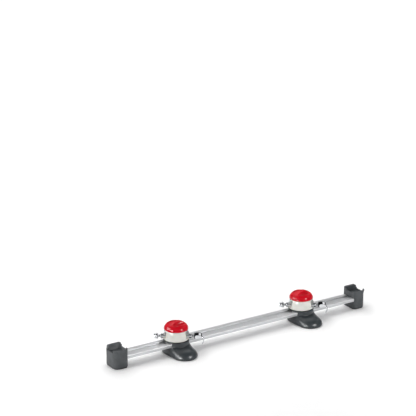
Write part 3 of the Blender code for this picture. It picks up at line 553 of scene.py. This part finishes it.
def wall(z):
    """The rear wall leans in towards the neck."""
    return BASE_RADIUS + (BASE_TOP_RADIUS - BASE_RADIUS) * z / TOE_HIGH


# Semi-gloss nylon: slate grey with broad soft highlights and a faint orange-peel skin, 2 mm across.
slate, place = new_finish("semi_gloss_nylon", Roughness=0.33, IOR=1.53)
peel = add_node(slate, "ShaderNodeTexNoise", {"Scale": per_metre(2.083), "Detail": 1.0}, {"Vector": place})
drift = add_node(slate, "ShaderNodeTexNoise", {"Scale": per_metre(33.3), "Detail": 3.0}, {"Vector": place})
add_node(slate, "ShaderNodeValToRGB", {"tones": {0.35: "#293033", 0.65: "#31373b"}},
         {"Fac": drift}, "Base Color")
add_node(slate, "ShaderNodeMapRange", {"To Min": 0.28, "To Max": 0.38}, {"Value": drift}, "Roughness")
add_node(slate, "ShaderNodeBump", {"Strength": 0.12, "Distance": 0.0001}, {"Height": peel}, "Normal")

levels = [egg(wall(PAD_THICK) - 0.0012, dome(0) - 0.0012, PAD_THICK + SLACK),
          egg(wall(0.003) - 0.0004, dome(0.003) - 0.0004, 0.0029)]
levels += [egg(wall(z), dome(z), z) for z in TOE_LEVELS]
levels += [ring(radius, z) for radius, z in NECK_PROFILE]
base = built_up("base_moulding", levels)
levels = [egg(wall(0) - BASE_WALL, TOE_RADIUS - BASE_WALL, -OVER / 2)]
levels += [egg(wall(z) - BASE_WALL, dome(z + ROOF_DROP, ROOF_DROP) - BASE_WALL, z)
           for z in (0.006, 0.012, 0.017, 0.021, BASE_ROOF)]
hollow = built_up("tool", levels)
ribs = [block((-RIB_HALF, -RIB_TOOL, -2 * OVER), (RIB_HALF, RIB_TOOL, RIB_TOOL / 2))]
ribs += [block((-RIB_TOOL, y - CROSS_RIB_HALF, -2 * OVER), (RIB_TOOL, y + CROSS_RIB_HALF, RIB_TOOL / 2))
         for y in CROSS_RIBS]
carve(hollow, ribs)
seat = drill(HUB_RADIUS + SEAT_ROOM, RAIL_TOP - SEAT_SINK, 2 * OVER, sides=120)
carve(base, [rail_tool(-TUNNEL_HALF, TUNNEL_HALF), seat, hollow])
ease_edges(base, 0.0005, segments=2, angle=40)
BASE_PLACES = {side: Matrix.Translation((HEAD_X[side], RAIL_LINE, 0)) for side in SIDES}
fit_pair(base, BASE_PLACES, slate, "carriage", "base")

# Base soles: egg-shaped rings of the same rubber as the foot soles, let into the underside of the
# bases, so that the toe doesn't slip.
BASE_SOLE_INSET = 0.0030
BASE_SOLE_OPENING = 0.0190

outer = egg(BASE_RADIUS - BASE_SOLE_INSET, TOE_RADIUS - BASE_SOLE_INSET, 0)
inner = egg(BASE_RADIUS - BASE_SOLE_OPENING, TOE_RADIUS - BASE_SOLE_OPENING, -OVER)
sole = extruded("base_sole", outer, (0, 0, PAD_THICK))
carve(sole, [extruded("tool", inner, (0, 0, 2 * OVER))])
ease_edges(sole, 0.0003, segments=2)
fit_pair(sole, BASE_PLACES, rubber, "carriage", "base_pad")

# Friction washers: flat rings turned from natural nylon, one in each head. They lie hidden between
# the rail and the collar's hub, and keep their CAD shapes.

# Natural nylon: a milky, slightly yellow white with a satin skin.
natural, place = new_finish("natural_nylon", Roughness=0.45, IOR=1.53)
tint = add_node(natural, "ShaderNodeTexNoise", {"Scale": per_metre(11.1), "Detail": 2.0}, {"Vector": place})
add_node(natural, "ShaderNodeValToRGB", {"tones": {0.35: "#dcd9cd", 0.65: "#ebe9e0"}},
         {"Fac": tint}, "Base Color")
add_node(natural, "ShaderNodeMapRange", {"To Min": 0.38, "To Max": 0.52}, {"Value": tint}, "Roughness")
dress(natural, "friction_washer")

# Collars: glossy ivory ABS barrels that turn on the bases. A window on each side shows the chrome
# bridge and the axle tube, and the barrel draws in under the knob.
AXLE_TURN = math.radians(-32.5)
HEAD_PLACES = {side: BASE_PLACES[side] @ Matrix.Rotation(AXLE_TURN, 4, "Z") for side in SIDES}
COLLAR_FLOOR = 0.0416
COLLAR_SKIRT = 0.047
SKIRT_END = 0.0480
COLLAR_TOP = 0.079
BARREL_RADIUS = 0.0394          # at the top
BARREL_HIGH = 0.0300
BARREL_SWELL = 0.0062
SWELL_SPAN = 0.62
SWELL_FADE = 0.42
WINDOW_DEPTH = 0.0283
WINDOW_CORNER = 0.003
WINDOW_FLOOR = 0.0498
AXLE_Z = 0.0535
AXLE_RADIUS = 0.0085
STIRRUP_HALF = 0.0126
STIRRUP_SLOT = 0.0063
THROUGH = 0.06                  # half length of a tool that runs right through a head


def barrel(z):
    """The collar's radius: it swells a little below its middle and draws in under the knob."""
    top = (COLLAR_TOP - z) / (COLLAR_TOP - COLLAR_SKIRT)
    return BARREL_RADIUS + BARREL_SWELL * math.sin(math.pi * SWELL_SPAN * top) * (1 - SWELL_FADE * top)


def spun(name, profile, steps=96, ring_shaped=False):
    """Draw half a section of (radius, height) and spin it round Z."""
    piece = draw(name, [(radius, 0, z) for radius, z in profile], closed=ring_shaped)
    bpy.ops.mesh.spin(steps=steps, angle=math.tau, center=(0, 0, 0), axis=(0, 0, 1))
    return close_up(piece)


def bar(radius, low, high, steps=64):
    """A round bar along Z, to cut or to join with."""
    return spun("tool", [(0, low), (radius, low), (radius, high), (0, high)], steps)


def laid(piece, along="X", at=(0, 0, 0)):
    """Lay a piece that was spun round Z on another axis."""
    turn = Matrix.Rotation(math.pi / 2, 4, "Y") if along == "X" else Matrix.Rotation(-math.pi / 2, 4, "X")
    return settle(piece, Matrix.Translation(at) @ turn)


# Ivory ABS: warm white, glossy, with a faint drift in tone and a trace of light passing in.
ivory, place = new_finish("ivory_abs", Roughness=0.24, IOR=1.53, Subsurface_Weight=0.06,
                          Subsurface_Scale=0.002)
drift = add_node(ivory, "ShaderNodeTexNoise", {"Scale": per_metre(26.3), "Detail": 2.0}, {"Vector": place})
peel = add_node(ivory, "ShaderNodeTexNoise", {"Scale": per_metre(2.38), "Detail": 1.0}, {"Vector": place})
add_node(ivory, "ShaderNodeValToRGB", {"tones": {0.35: "#e0e0d8", 0.65: "#e8e8e1"}},
         {"Fac": drift}, "Base Color")
add_node(ivory, "ShaderNodeMapRange", {"To Min": 0.20, "To Max": 0.29}, {"Value": drift}, "Roughness")
add_node(ivory, "ShaderNodeBump", {"Strength": 0.08, "Distance": 0.0001}, {"Height": peel}, "Normal")

profile = [(0, COLLAR_FLOOR), (HUB_RADIUS - 0.0005, COLLAR_FLOOR), (HUB_RADIUS, COLLAR_FLOOR + 0.0005),
           (HUB_RADIUS, COLLAR_SKIRT - 0.0004), (barrel(COLLAR_SKIRT) - 0.0014, COLLAR_SKIRT),
           (barrel(COLLAR_SKIRT) - 0.0004, 0.0473)]
profile += [(barrel(z), z) for z in (SKIRT_END + BARREL_HIGH * i / 14 for i in range(15))]
profile += [(barrel(0.0787) - 0.0003, 0.0787), (barrel(COLLAR_TOP) - 0.0011, COLLAR_TOP), (0, COLLAR_TOP)]
collar = spun("collar_moulding", profile, 120)
window = ([(-0.0182, 0.085), (-0.0182, 0.0790), (-0.0205, 0.0770), (-0.0262, 0.0755)]
          + arc(-WINDOW_DEPTH + WINDOW_CORNER, 0.0722, WINDOW_CORNER, 110, 180, 5)
          + [(-WINDOW_DEPTH, 0.0570), (-0.0265, 0.0530), (-0.0225, 0.0507), (-0.0180, WINDOW_FLOOR)])
window += [(-y, z) for y, z in reversed(window)]
stirrup_room = STIRRUP_HALF + 0.0005
carve(collar, [extruded("tool", [(-THROUGH, y, z) for y, z in window], (2 * THROUGH, 0, 0)),
               laid(bar(AXLE_RADIUS + SLACK, -THROUGH, THROUGH), at=(0, 0, AXLE_Z)),
               block((-STIRRUP_SLOT, -stirrup_room, 0.03), (STIRRUP_SLOT, stirrup_room, 0.06))])
ease_edges(collar, 0.0006)
fit_pair(collar, HEAD_PLACES, ivory, "head", "collar")

# Bridges: chromed castings that bear down on the axle tubes inside the collars. Each end follows
# the collar's barrel, and the stud of the clamp passes through the middle.
BRIDGE_TOP = 0.0787
BRIDGE_LOW = 0.0600
BRIDGE_ROOF = 0.0692            # over the stirrup
STUD_RADIUS = 0.0040
STUD_ROOM = 0.0004

# Chrome plate over polished metal: near white, with a fine haze from handling.
chrome, place = new_finish("chrome_plate", Metallic=1.0, Roughness=0.08)
haze = add_node(chrome, "ShaderNodeTexNoise", {"Scale": per_metre(14.3), "Detail": 4.0}, {"Vector": place})
fine = add_node(chrome, "ShaderNodeTexNoise", {"Scale": per_metre(1.111), "Detail": 1.0}, {"Vector": place})
add_node(chrome, "ShaderNodeValToRGB", {"tones": {0.35: "#d3d5d8", 0.65: "#dfe0e2"}},
         {"Fac": haze}, "Base Color")
add_node(chrome, "ShaderNodeMapRange", {"To Min": 0.05, "To Max": 0.14}, {"Value": haze}, "Roughness")
add_node(chrome, "ShaderNodeBump", {"Strength": 0.05, "Distance": 0.00005}, {"Height": fine}, "Normal")

trim = [(0, 0.050)] + [(barrel(z) - 0.0006, z) for z in (0.050, 0.055, 0.060, 0.065, 0.070, 0.074, 0.0776)]
trim += [(barrel(BRIDGE_TOP) - 0.0014, BRIDGE_TOP), (0, BRIDGE_TOP)]
bridge = spun("axle_bridge", trim, 120)
section = [(-0.0094, BRIDGE_LOW), (0.0094, BRIDGE_LOW), (0.0104, 0.0650), (0.0170, 0.0735), (0.0178, 0.0760),
           (0.0178, 0.09), (-0.0178, 0.09), (-0.0178, 0.0760), (-0.0170, 0.0735), (-0.0104, 0.0650)]
carve(bridge, [extruded("tool", [(-THROUGH, y, z) for y, z in section], (2 * THROUGH, 0, 0))], "INTERSECT")
carve(bridge, [laid(bar(AXLE_RADIUS + SLACK, -THROUGH, THROUGH), at=(0, 0, AXLE_Z)),
               block((-STIRRUP_SLOT, -0.03, 0.04), (STIRRUP_SLOT, 0.03, BRIDGE_ROOF)),
               bar(STUD_RADIUS + STUD_ROOM, 0.06, 0.09, steps=32)])
ease_edges(bridge, 0.0005)
fit_pair(bridge, HEAD_PLACES, chrome, "head", "bridge")

# Axle tubes: dummy hubs, turned from steel tube and chromed, 100 mm between the shoulders. Each has
# a slimmer stub at both ends and a bore for the skewer.
AXLE_HALF = 0.050
STUB_RADIUS = 0.0045
STUB_END = 0.0553
AXLE_BORE = 0.0030

right_half = [(STUB_RADIUS - 0.0004, STUB_END), (STUB_RADIUS, STUB_END - 0.0004), (STUB_RADIUS, AXLE_HALF),
              (AXLE_RADIUS - 0.0006, AXLE_HALF), (AXLE_RADIUS - 0.0002, AXLE_HALF - 0.0002),
              (AXLE_RADIUS, AXLE_HALF - 0.0006)]
profile = [(AXLE_BORE, STUB_END)] + right_half + [(r, -z) for r, z in reversed(right_half)]
profile += [(AXLE_BORE, -STUB_END)]
tube = spun("axle_tube_chrome", profile, 96, ring_shaped=True)
shade(tube, 30)
laid(tube, at=(0, 0, AXLE_Z))
fit_pair(tube, HEAD_PLACES, chrome, "head", "axle_tube")

# Stirrups: forged steel eyes round the axle tubes, zinc plated. The stem below carries the disc
# that grips under the rail's lips, and the knob's bush runs on the stud above. The disc and the
# thrust washer under the knob keep their CAD shapes.
STIRRUP_THICK = 0.0118
STIRRUP_TOP = 0.0684
STIRRUP_EYE = 0.0089
STIRRUP_EYE_TOP = 0.0639
STEM_RADIUS = 0.0055
STEM_FOOT = 0.0346
STUD_FOOT = 0.0655
STUD_TOP = 0.0940
STUD_CHAMFER = 0.0008
THREAD_START = 0.0700
THREAD_PITCH = 0.00125          # the clamp's drop for one turn of the knob
THREAD_TURNS = 18
THREAD_DEEP = 0.0003


def slot_outline(half_width, low, high, x):
    """An upright slot across the axle, with round ends."""
    outline = arc(0, low + half_width, half_width, 180, 360, 24)
    outline += arc(0, high - half_width, half_width, 0, 180, 24)
    return [(x, y, z) for y, z in outline]


low = RAIL_TOP - 0.0005
stirrup = extruded("clamp_stirrup", slot_outline(STIRRUP_HALF, low, STIRRUP_TOP, -STIRRUP_THICK / 2),
                   (STIRRUP_THICK, 0, 0))
stud = [(0, STUD_FOOT), (STUD_RADIUS, STUD_FOOT)]
for number in range(THREAD_TURNS):
    crest = THREAD_START + number * THREAD_PITCH
    stud += [(STUD_RADIUS, crest), (STUD_RADIUS - THREAD_DEEP, crest + THREAD_PITCH / 2)]
stud += [(STUD_RADIUS, STUD_TOP - STUD_CHAMFER), (STUD_RADIUS - STUD_CHAMFER, STUD_TOP), (0, STUD_TOP)]
carve(stirrup, [bar(STEM_RADIUS, STEM_FOOT, low + 0.003, 48), spun("tool", stud, 32)], "UNION")
eye = slot_outline(STIRRUP_EYE, AXLE_Z - STIRRUP_EYE, STIRRUP_EYE_TOP, -0.02)
carve(stirrup, [extruded("tool", eye, (0.04, 0, 0))])
ease_edges(stirrup, 0.0004, segments=2, angle=50)
fit_pair(stirrup, HEAD_PLACES, zinc, "clamp", "stirrup")
dress(zinc, "t_disc", "thrust_washer")

# Knobs: signal red moulded domes with a deep gloss. A hollow for the fingers on each side leaves
# a grip across the middle, and a hexagonal brass bush is pressed into the boss underneath.
KNOB_RADIUS = 0.0402
KNOB_FOOT = 0.0793
KNOB_TOP = 0.1050
KNOB_BAND = 0.0012              # upright band under the dome
KNOB_WALL = 0.0038
CAVE_FOOT = 0.0010
CAVE_RISE = 0.0105
BOSS_RADIUS = 0.0125
BOSS_ROOT = 0.0890
WASHER_TOP = 0.0804
INSERT_ACROSS = 0.0155
INSERT_TOP = 0.0955
FINGER_PLACE = 0.0190
FINGER_HIGH = 0.1095
FINGER_SIZE = (0.0440, 0.0118, 0.0172)
KNOB_TURN = {"left": math.radians(36), "right": math.radians(38)}

# Red polycarbonate blend: saturated red with a hard, wet gloss.
red, place = new_finish("signal_red_gloss", Roughness=0.14, IOR=1.47, Specular_IOR_Level=0.30,
                        Subsurface_Weight=0.05, Subsurface_Scale=0.003)
drift = add_node(red, "ShaderNodeTexNoise", {"Scale": per_metre(25), "Detail": 2.0}, {"Vector": place})
peel = add_node(red, "ShaderNodeTexNoise", {"Scale": per_metre(3.03), "Detail": 1.0}, {"Vector": place})
add_node(red, "ShaderNodeValToRGB", {"tones": {0.35: "#c60b1f", 0.65: "#d11025"}},
         {"Fac": drift}, "Base Color")
add_node(red, "ShaderNodeMapRange", {"To Min": 0.11, "To Max": 0.18}, {"Value": drift}, "Roughness")
add_node(red, "ShaderNodeBump", {"Strength": 0.06, "Distance": 0.0001}, {"Height": peel}, "Normal")

rise = KNOB_TOP - KNOB_FOOT - KNOB_BAND
outside = [(KNOB_RADIUS * math.cos(a), KNOB_FOOT + KNOB_BAND + rise * math.sin(a))
           for a in (math.radians(90 * i / 24) for i in range(24))]
inner_radius = KNOB_RADIUS - KNOB_WALL
cave = [(inner_radius * math.cos(a), KNOB_FOOT + CAVE_FOOT + CAVE_RISE * math.sin(a))
        for a in (math.radians(62 * i / 8) for i in range(9))]
boss_foot = WASHER_TOP + 0.0006
profile = [(0, KNOB_TOP)] + list(reversed(outside))
profile += [(KNOB_RADIUS - 0.0003, KNOB_FOOT + 0.0004), (KNOB_RADIUS - 0.0009, KNOB_FOOT),
            (inner_radius, KNOB_FOOT)]
profile += cave + [(BOSS_RADIUS, BOSS_ROOT), (BOSS_RADIUS, boss_foot), (0, boss_foot)]
knob = spun("clamp_knob", profile, 120)
bore_radius = (INSERT_ACROSS + 2 * SLACK) / math.sqrt(3)
bore_foot = WASHER_TOP - OVER
tools = [drill(bore_radius, bore_foot, INSERT_TOP + SLACK - bore_foot, sides=6)]
for sign in (-1, 1):
    deselect()
    bpy.ops.mesh.primitive_uv_sphere_add(segments=96, ring_count=48, radius=1.0)
    spot = Matrix.Translation((0, sign * FINGER_PLACE, FINGER_HIGH))
    tools.append(settle(bpy.context.object, spot @ Matrix.Diagonal((*FINGER_SIZE, 1.0))))
carve(knob, tools)
ease_edges(knob, 0.0006, segments=4, angle=28)
KNOB_PLACES = {side: HEAD_PLACES[side] @ Matrix.Rotation(KNOB_TURN[side], 4, "Z") for side in SIDES}
fit_pair(knob, KNOB_PLACES, red, "clamp_knob", "knob")

# Knob bushes: hexagons of brass, sawn from bar and tapped for the stud. They are seen only from
# below and keep their CAD shapes.

# Turned brass: warm yellow with the slight swirl of the tool.
brass, place = new_finish("turned_brass", Metallic=1.0, Roughness=0.30)
swirl = add_node(brass, "ShaderNodeTexNoise", {"Scale": per_metre(3.33), "Detail": 2.0}, {"Vector": place})
add_node(brass, "ShaderNodeValToRGB", {"tones": {0.35: "#c19a52", 0.65: "#d2b06a"}},
         {"Fac": swirl}, "Base Color")
add_node(brass, "ShaderNodeMapRange", {"To Min": 0.24, "To Max": 0.38}, {"Value": swirl}, "Roughness")
dress(brass, "knob_insert")

# Skewer rods: zinc plated steel rods through the axle tubes, with an eye at one end for the lever's
# shaft. Only their ends show, and they keep their CAD shapes.
dress(zinc, "skewer_rod")

# Cam housings: black anodised aluminium caps on the lever side of the skewers. A slot takes the
# rod's eye and a cross bore the lever's shaft; the inner face is the one that clamps.
CLAMP_FACE = 0.0583
HOUSING_RADIUS = 0.0100
HOUSING_END = 0.0735
HOUSING_ROUND = 0.0045
PIVOT = 0.0668
SHAFT_RADIUS = 0.0042
SLOT_START = CLAMP_FACE + 0.0030
SLOT_HALF_WIDTH = 0.0029
SLOT_HALF_HEIGHT = 0.0078
SEAT_MOUTH = 0.0072             # the spring sinks into a cone in the inner face
SEAT_FLOOR = 0.0060
SEAT_DEEP = 0.0034

# Black anodised cap: a satin black metal, rubbed a little lighter in specks.
black, place = new_finish("black_anodised_cap", Metallic=0.9, Roughness=0.30)
wear = add_node(black, "ShaderNodeTexNoise", {"Scale": per_metre(4.17), "Detail": 4.0}, {"Vector": place})
add_node(black, "ShaderNodeValToRGB", {"tones": {0.4: "#1b1b1d", 0.8: "#29292c"}},
         {"Fac": wear}, "Base Color")
add_node(black, "ShaderNodeMapRange", {"To Min": 0.22, "To Max": 0.38}, {"Value": wear}, "Roughness")

profile = [(0, CLAMP_FACE), (HOUSING_RADIUS - 0.0006, CLAMP_FACE), (HOUSING_RADIUS, CLAMP_FACE + 0.0006)]
profile += arc(HOUSING_RADIUS - HOUSING_ROUND, HOUSING_END - HOUSING_ROUND, HOUSING_ROUND, 0, 90, 10)
profile += [(0, HOUSING_END)]
housing = laid(spun("cam_cap", profile, 72))
tools = [
    block((SLOT_START, -SLOT_HALF_WIDTH, -SLOT_HALF_HEIGHT),
          (HOUSING_END + OVER, SLOT_HALF_WIDTH, SLOT_HALF_HEIGHT)),
    laid(bar(SHAFT_RADIUS + SLACK, -2 * OVER, 2 * OVER, steps=40), "Y", (PIVOT, 0, 0)),
    laid(spun("tool", [(0, CLAMP_FACE - BITE), (SEAT_MOUTH, CLAMP_FACE - BITE),
                       (SEAT_FLOOR, CLAMP_FACE + SEAT_DEEP), (0, CLAMP_FACE + SEAT_DEEP)], steps=48)),
]
carve(housing, tools)
ease_edges(housing, 0.00025, segments=2, angle=40)
ON_AXLE = Matrix.Translation((0, 0, AXLE_Z))
settle(housing, ON_AXLE)
fit_pair(housing, HEAD_PLACES, black, "head", "cam_housing")

# Quick release levers: chromed forgings with two cheeks beside the housing and a blade that curls
# down to a fingertip; the eccentric shaft between the cheeks pulls the rod as the lever closes.
CAM_THROW = 0.0011
CAM_JOURNAL = 0.0029
JOURNAL_HALF = 0.0032
BLADE_POINTS = ((0.0, 0.0), (0.0100, 0.0045), (0.0245, -0.0020), (0.0265, -0.0180), (0.0165, -0.0280))
BLADE_START = 0.35              # share of the centre line that the cheeks take
BLADE_STEPS = 36
BLADE_HALF_WIDTH = 0.0062
BLADE_BULGE = 0.0018
BLADE_HALF_THICK = 0.0024
BLADE_THINNING = 0.0006
BLADE_SQUARENESS = 0.6          # 1 is an ellipse, less is squarer
TIP_STEPS = 4
TIP_LENGTH = 4.3                # of the rounding, in steps
TIP_WIDTH = 0.45                # share of the width that is left at the tip
CHEEK_NEAR = HOUSING_RADIUS + 0.0004
CHEEK_THICK = 0.0030
CHEEK_FAR = CHEEK_NEAR + CHEEK_THICK
CHEEK_ROUND = 0.0062


def blade_line(t):
    """Centre line of the closed lever in X and Z, a Bezier curve from its pivot to its tip."""
    points = [Vector(p) for p in BLADE_POINTS]
    while len(points) > 1:
        points = [a.lerp(b, t) for a, b in zip(points, points[1:])]
    return points[0]


def squared(value):
    """Push a cosine or a sine outwards, so that a round section gets flat sides."""
    return math.copysign(abs(value) ** BLADE_SQUARENESS, value)


levels = []
for i in range(BLADE_STEPS + 1):
    t = BLADE_START + (1 - BLADE_START) * i / BLADE_STEPS
    here = blade_line(t)
    ahead = (blade_line(min(t + 0.01, 1.0)) - blade_line(t - 0.01)).normalized()
    outwards = Vector((-ahead.y, ahead.x))
    wide = BLADE_HALF_WIDTH + BLADE_BULGE * math.sin(math.pi * i / BLADE_STEPS)
    thick = BLADE_HALF_THICK - BLADE_THINNING * t
    past_start = i - (BLADE_STEPS - TIP_STEPS)
    if past_start > 0:
        closing = math.sqrt(max(1 - (past_start / TIP_LENGTH) ** 2, 0.0))
        wide *= TIP_WIDTH + (1 - TIP_WIDTH) * closing
        thick *= closing
    level = []
    for a in (math.tau * k / 32 for k in range(32)):
        lift = outwards * thick * squared(math.sin(a))
        level.append((here.x + lift.x, wide * squared(math.cos(a)), here.y + lift.y))
    levels.append(level)
lever = built_up("release_lever", levels)
cheek = arc(0, 0, CHEEK_ROUND, 95, 290, 24)
cheek += [(0.0100, -0.0030), (0.0165, -0.0046), (0.0185, -0.0030), (0.0172, 0.0020), (0.0120, 0.0048),
          (0.0060, 0.0064)]
web = [(0.0136, -0.0026), (0.0165, -0.0044), (0.0183, -0.0030), (0.0171, 0.0018), (0.0137, 0.0036)]
parts = [extruded("tool", [(x, -CHEEK_FAR, z) for x, z in web], (0, 2 * CHEEK_FAR, 0)),
         extruded("tool", [(x, CHEEK_NEAR, z) for x, z in cheek], (0, CHEEK_THICK, 0)),
         extruded("tool", [(x, -CHEEK_FAR, z) for x, z in cheek], (0, CHEEK_THICK, 0))]
carve(lever, parts, "UNION")
shaft_half = CHEEK_FAR - 0.0004
shaft = laid(bar(SHAFT_RADIUS, -shaft_half, shaft_half, 48), "Y")
waist = [(CAM_JOURNAL, -JOURNAL_HALF), (2 * OVER, -JOURNAL_HALF), (2 * OVER, JOURNAL_HALF),
         (CAM_JOURNAL, JOURNAL_HALF)]
carve(shaft, [laid(spun("tool", waist, steps=48, ring_shaped=True), "Y", (CAM_THROW, 0, 0))])
carve(lever, [shaft], "UNION")
ease_edges(lever, 0.0005, angle=38)
settle(lever, ON_AXLE @ Matrix.Translation((PIVOT, 0, 0)))
fit_pair(lever, HEAD_PLACES, chrome, "release_lever", "cam_lever")

# Adjusting nuts: chromed brass, turned and then milled with six thumb flutes. They run on the far
# end of the skewer rods, and a cone in the inner face takes the spring.
NUT_RADIUS = 0.0096
NUT_END = 0.0742
ROD_RADIUS = 0.0025
ROD_END = 0.0708
FLUTES = 6
FLUTE_RADIUS = 0.0035
FLUTE_CIRCLE = 0.0112
FLUTE_START = CLAMP_FACE + 0.0065

profile = [(0.0, CLAMP_FACE + 0.0036), (0.0056, CLAMP_FACE + 0.0034), (0.0072, CLAMP_FACE),
           (NUT_RADIUS - 0.0005, CLAMP_FACE), (NUT_RADIUS, CLAMP_FACE + 0.0005),
           (NUT_RADIUS, CLAMP_FACE + 0.0050), (NUT_RADIUS - 0.0003, CLAMP_FACE + 0.0064),
           (NUT_RADIUS - 0.0014, CLAMP_FACE + 0.0085), (NUT_RADIUS - 0.0022, NUT_END - 0.0020),
           (NUT_RADIUS - 0.0029, NUT_END - 0.0008), (NUT_RADIUS - 0.0040, NUT_END), (0.0, NUT_END)]
nut = spun("adjusting_nut", profile, 72)
tools = [bar(ROD_RADIUS + SLACK, CLAMP_FACE - OVER, ROD_END + 0.0006, 32)]
for a in (math.tau * i / FLUTES for i in range(FLUTES)):
    spot = (FLUTE_CIRCLE * math.cos(a), FLUTE_CIRCLE * math.sin(a), 0)
    flute = bar(FLUTE_RADIUS, FLUTE_START, NUT_END + OVER, steps=32)
    tools.append(settle(flute, Matrix.Translation(spot)))
carve(nut, tools)
ease_edges(nut, 0.0003, segments=2, angle=38)
settle(nut, ON_AXLE @ Matrix.Rotation(-math.pi / 2, 4, "Y"))
fit_pair(nut, HEAD_PLACES, chrome, "adjusting_nut", "skewer_nut")

# Springs: conical, wound from zinc-plated wire, one at each end of the axle. They push the nut
# and the housing outwards when the lever opens.
SPRING_WIRE = 0.0009
SPRING_TURNS = 2
SPRING_STEPS = 32               # for each turn
SPRING_START = STUB_END + 0.0007
SPRING_END = CLAMP_FACE + 0.0002
SPRING_SMALL = 0.0037
SPRING_GROWTH = 0.0020


def spring(name, side):
    """Draw the coil corner by corner, make it a curve and give it the wire's thickness."""
    corners = []
    steps = SPRING_TURNS * SPRING_STEPS
    for share in (i / steps for i in range(steps + 1)):
        radius = SPRING_SMALL + SPRING_GROWTH * share
        a = math.tau * SPRING_TURNS * share
        corners.append((side * (SPRING_START + (SPRING_END - SPRING_START) * share),
                        radius * math.cos(a), radius * math.sin(a) + AXLE_Z))
    choose(draw(name, corners, closed=False))
    bpy.ops.object.convert(target="CURVE")
    wire = bpy.context.object.data
    wire.bevel_depth = SPRING_WIRE / 2
    wire.bevel_resolution = 4
    wire.use_fill_caps = True
    bpy.ops.object.convert(target="MESH")
    coil = bpy.context.object
    bpy.ops.object.mode_set(mode="EDIT")
    close_up(coil)
    bpy.ops.object.shade_smooth_by_angle(angle=math.radians(50))
    return coil


fit_pair(spring("nut_coil", -1), HEAD_PLACES, zinc, "head", "nut_spring")
fit_pair(spring("cam_coil", 1), HEAD_PLACES, zinc, "head", "cam_spring")

# Studio: a white floor under a wide overhead softbox, with low fill lights in front and one behind.
# Panels that only glossy surfaces mirror give the knobs, toes and chrome their highlights, and a sky
# that is dark at the horizon and overhead gives them their dark bands.
FLOOR_SIZE = 14

deselect()
bpy.ops.mesh.primitive_plane_add(size=FLOOR_SIZE, location=(0, 0, 0))
floor = bpy.context.object
floor.name = "studio_floor"

# White paper: dead matt, and it glows more and more away from the rack, so that it stays white.
paper, place = new_finish("white_paper", Roughness=0.9, Specular_IOR_Level=0.1,
                          Emission_Color=paint("#ffffff"))
tooth = add_node(paper, "ShaderNodeTexNoise", {"Scale": per_metre(333)}, {"Vector": place})
add_node(paper, "ShaderNodeValToRGB", {"tones": {0.35: "#fafafa", 0.65: "#ffffff"}},
         {"Fac": tooth}, "Base Color")
away = add_node(paper, "ShaderNodeVectorMath", {"operation": "LENGTH"}, {0: place}, output="Value")
add_node(paper, "ShaderNodeMapRange", {"From Min": 0.7, "From Max": 3.0, "To Min": 0.03, "To Max": 0.80},
         {"Value": away}, "Emission Strength")
floor.data.materials.append(paper)


def soft_light(name, place, size, power, lit=True, mirrored=True):
    """A rectangular light aimed at the rack: it lights surfaces, shows in glossy ones, or both."""
    deselect()
    bpy.ops.object.light_add(type="AREA", location=place)
    light = bpy.context.object
    light.name = name
    light.data.shape = "RECTANGLE"
    light.data.size, light.data.size_y = size
    light.data.energy = power
    light.rotation_euler = Vector(place).to_track_quat("Z", "Y").to_euler()
    light.visible_diffuse = lit
    light.visible_glossy = mirrored


soft_light("left_softbox", (-2.75, 0.60, 0.95), (1.5, 0.9), 23, mirrored=False)
soft_light("left_panel", (-2.62, 1.12, 1.28), (1.9, 1.5), 90, lit=False)
soft_light("left_front_panel", (-2.85, -0.80, 0.85), (1.1, 0.7), 80, lit=False)
soft_light("right_softbox", (0.75, -2.6, 0.75), (1.2, 0.7), 27, mirrored=False)
soft_light("right_panel", (0.85, -2.45, 1.42), (0.9, 0.8), 50, lit=False)
soft_light("overhead_softbox", (0.20, 0.70, 2.5), (3.4, 2.4), 54, mirrored=False)
soft_light("top_panel", (0.30, 1.20, 2.15), (2.4, 1.1), 11, lit=False)
soft_light("back_softbox", (0.55, 2.4, 1.75), (2.2, 1.0), 24, mirrored=False)

sky = bpy.data.worlds.new("studio_sky")
bpy.context.scene.world = sky
sky.use_nodes = True
direction = add_node(sky, "ShaderNodeTexCoord", {}, {}, output="Generated")
height = add_node(sky, "ShaderNodeSeparateXYZ", {}, {"Vector": direction}, output="Z")
glow = add_node(sky, "ShaderNodeValToRGB", {"tones": {0.25: "#3f3f42", 0.66: "#c4c4c4", 0.84: "#4b4b4b"}},
                {"Fac": height})
sky.node_tree.links.new(glow, sky.node_tree.nodes["Background"].inputs["Color"])

bpy.context.scene.view_settings.view_transform = "Standard"

# Camera: a long lens well back on the left and above, as the rack was photographed. Its place, aim
# and focal length were fitted to the photograph.
CAMERA_PLACE = (-3.1037, RAIL_LINE - 4.6681, 2.4012)
CAMERA_DROP = math.radians(19.24)
CAMERA_TURN = math.radians(-32.52)
FOCAL_IN_FRAME = 1832 / 416     # focal length as a share of the frame's width

deselect()
bpy.ops.object.camera_add(location=CAMERA_PLACE, rotation=(math.pi / 2 - CAMERA_DROP, 0, CAMERA_TURN))
camera = bpy.context.object
camera.data.lens = FOCAL_IN_FRAME * camera.data.sensor_width
camera.data.clip_end = 60
bpy.context.scene.camera = camera
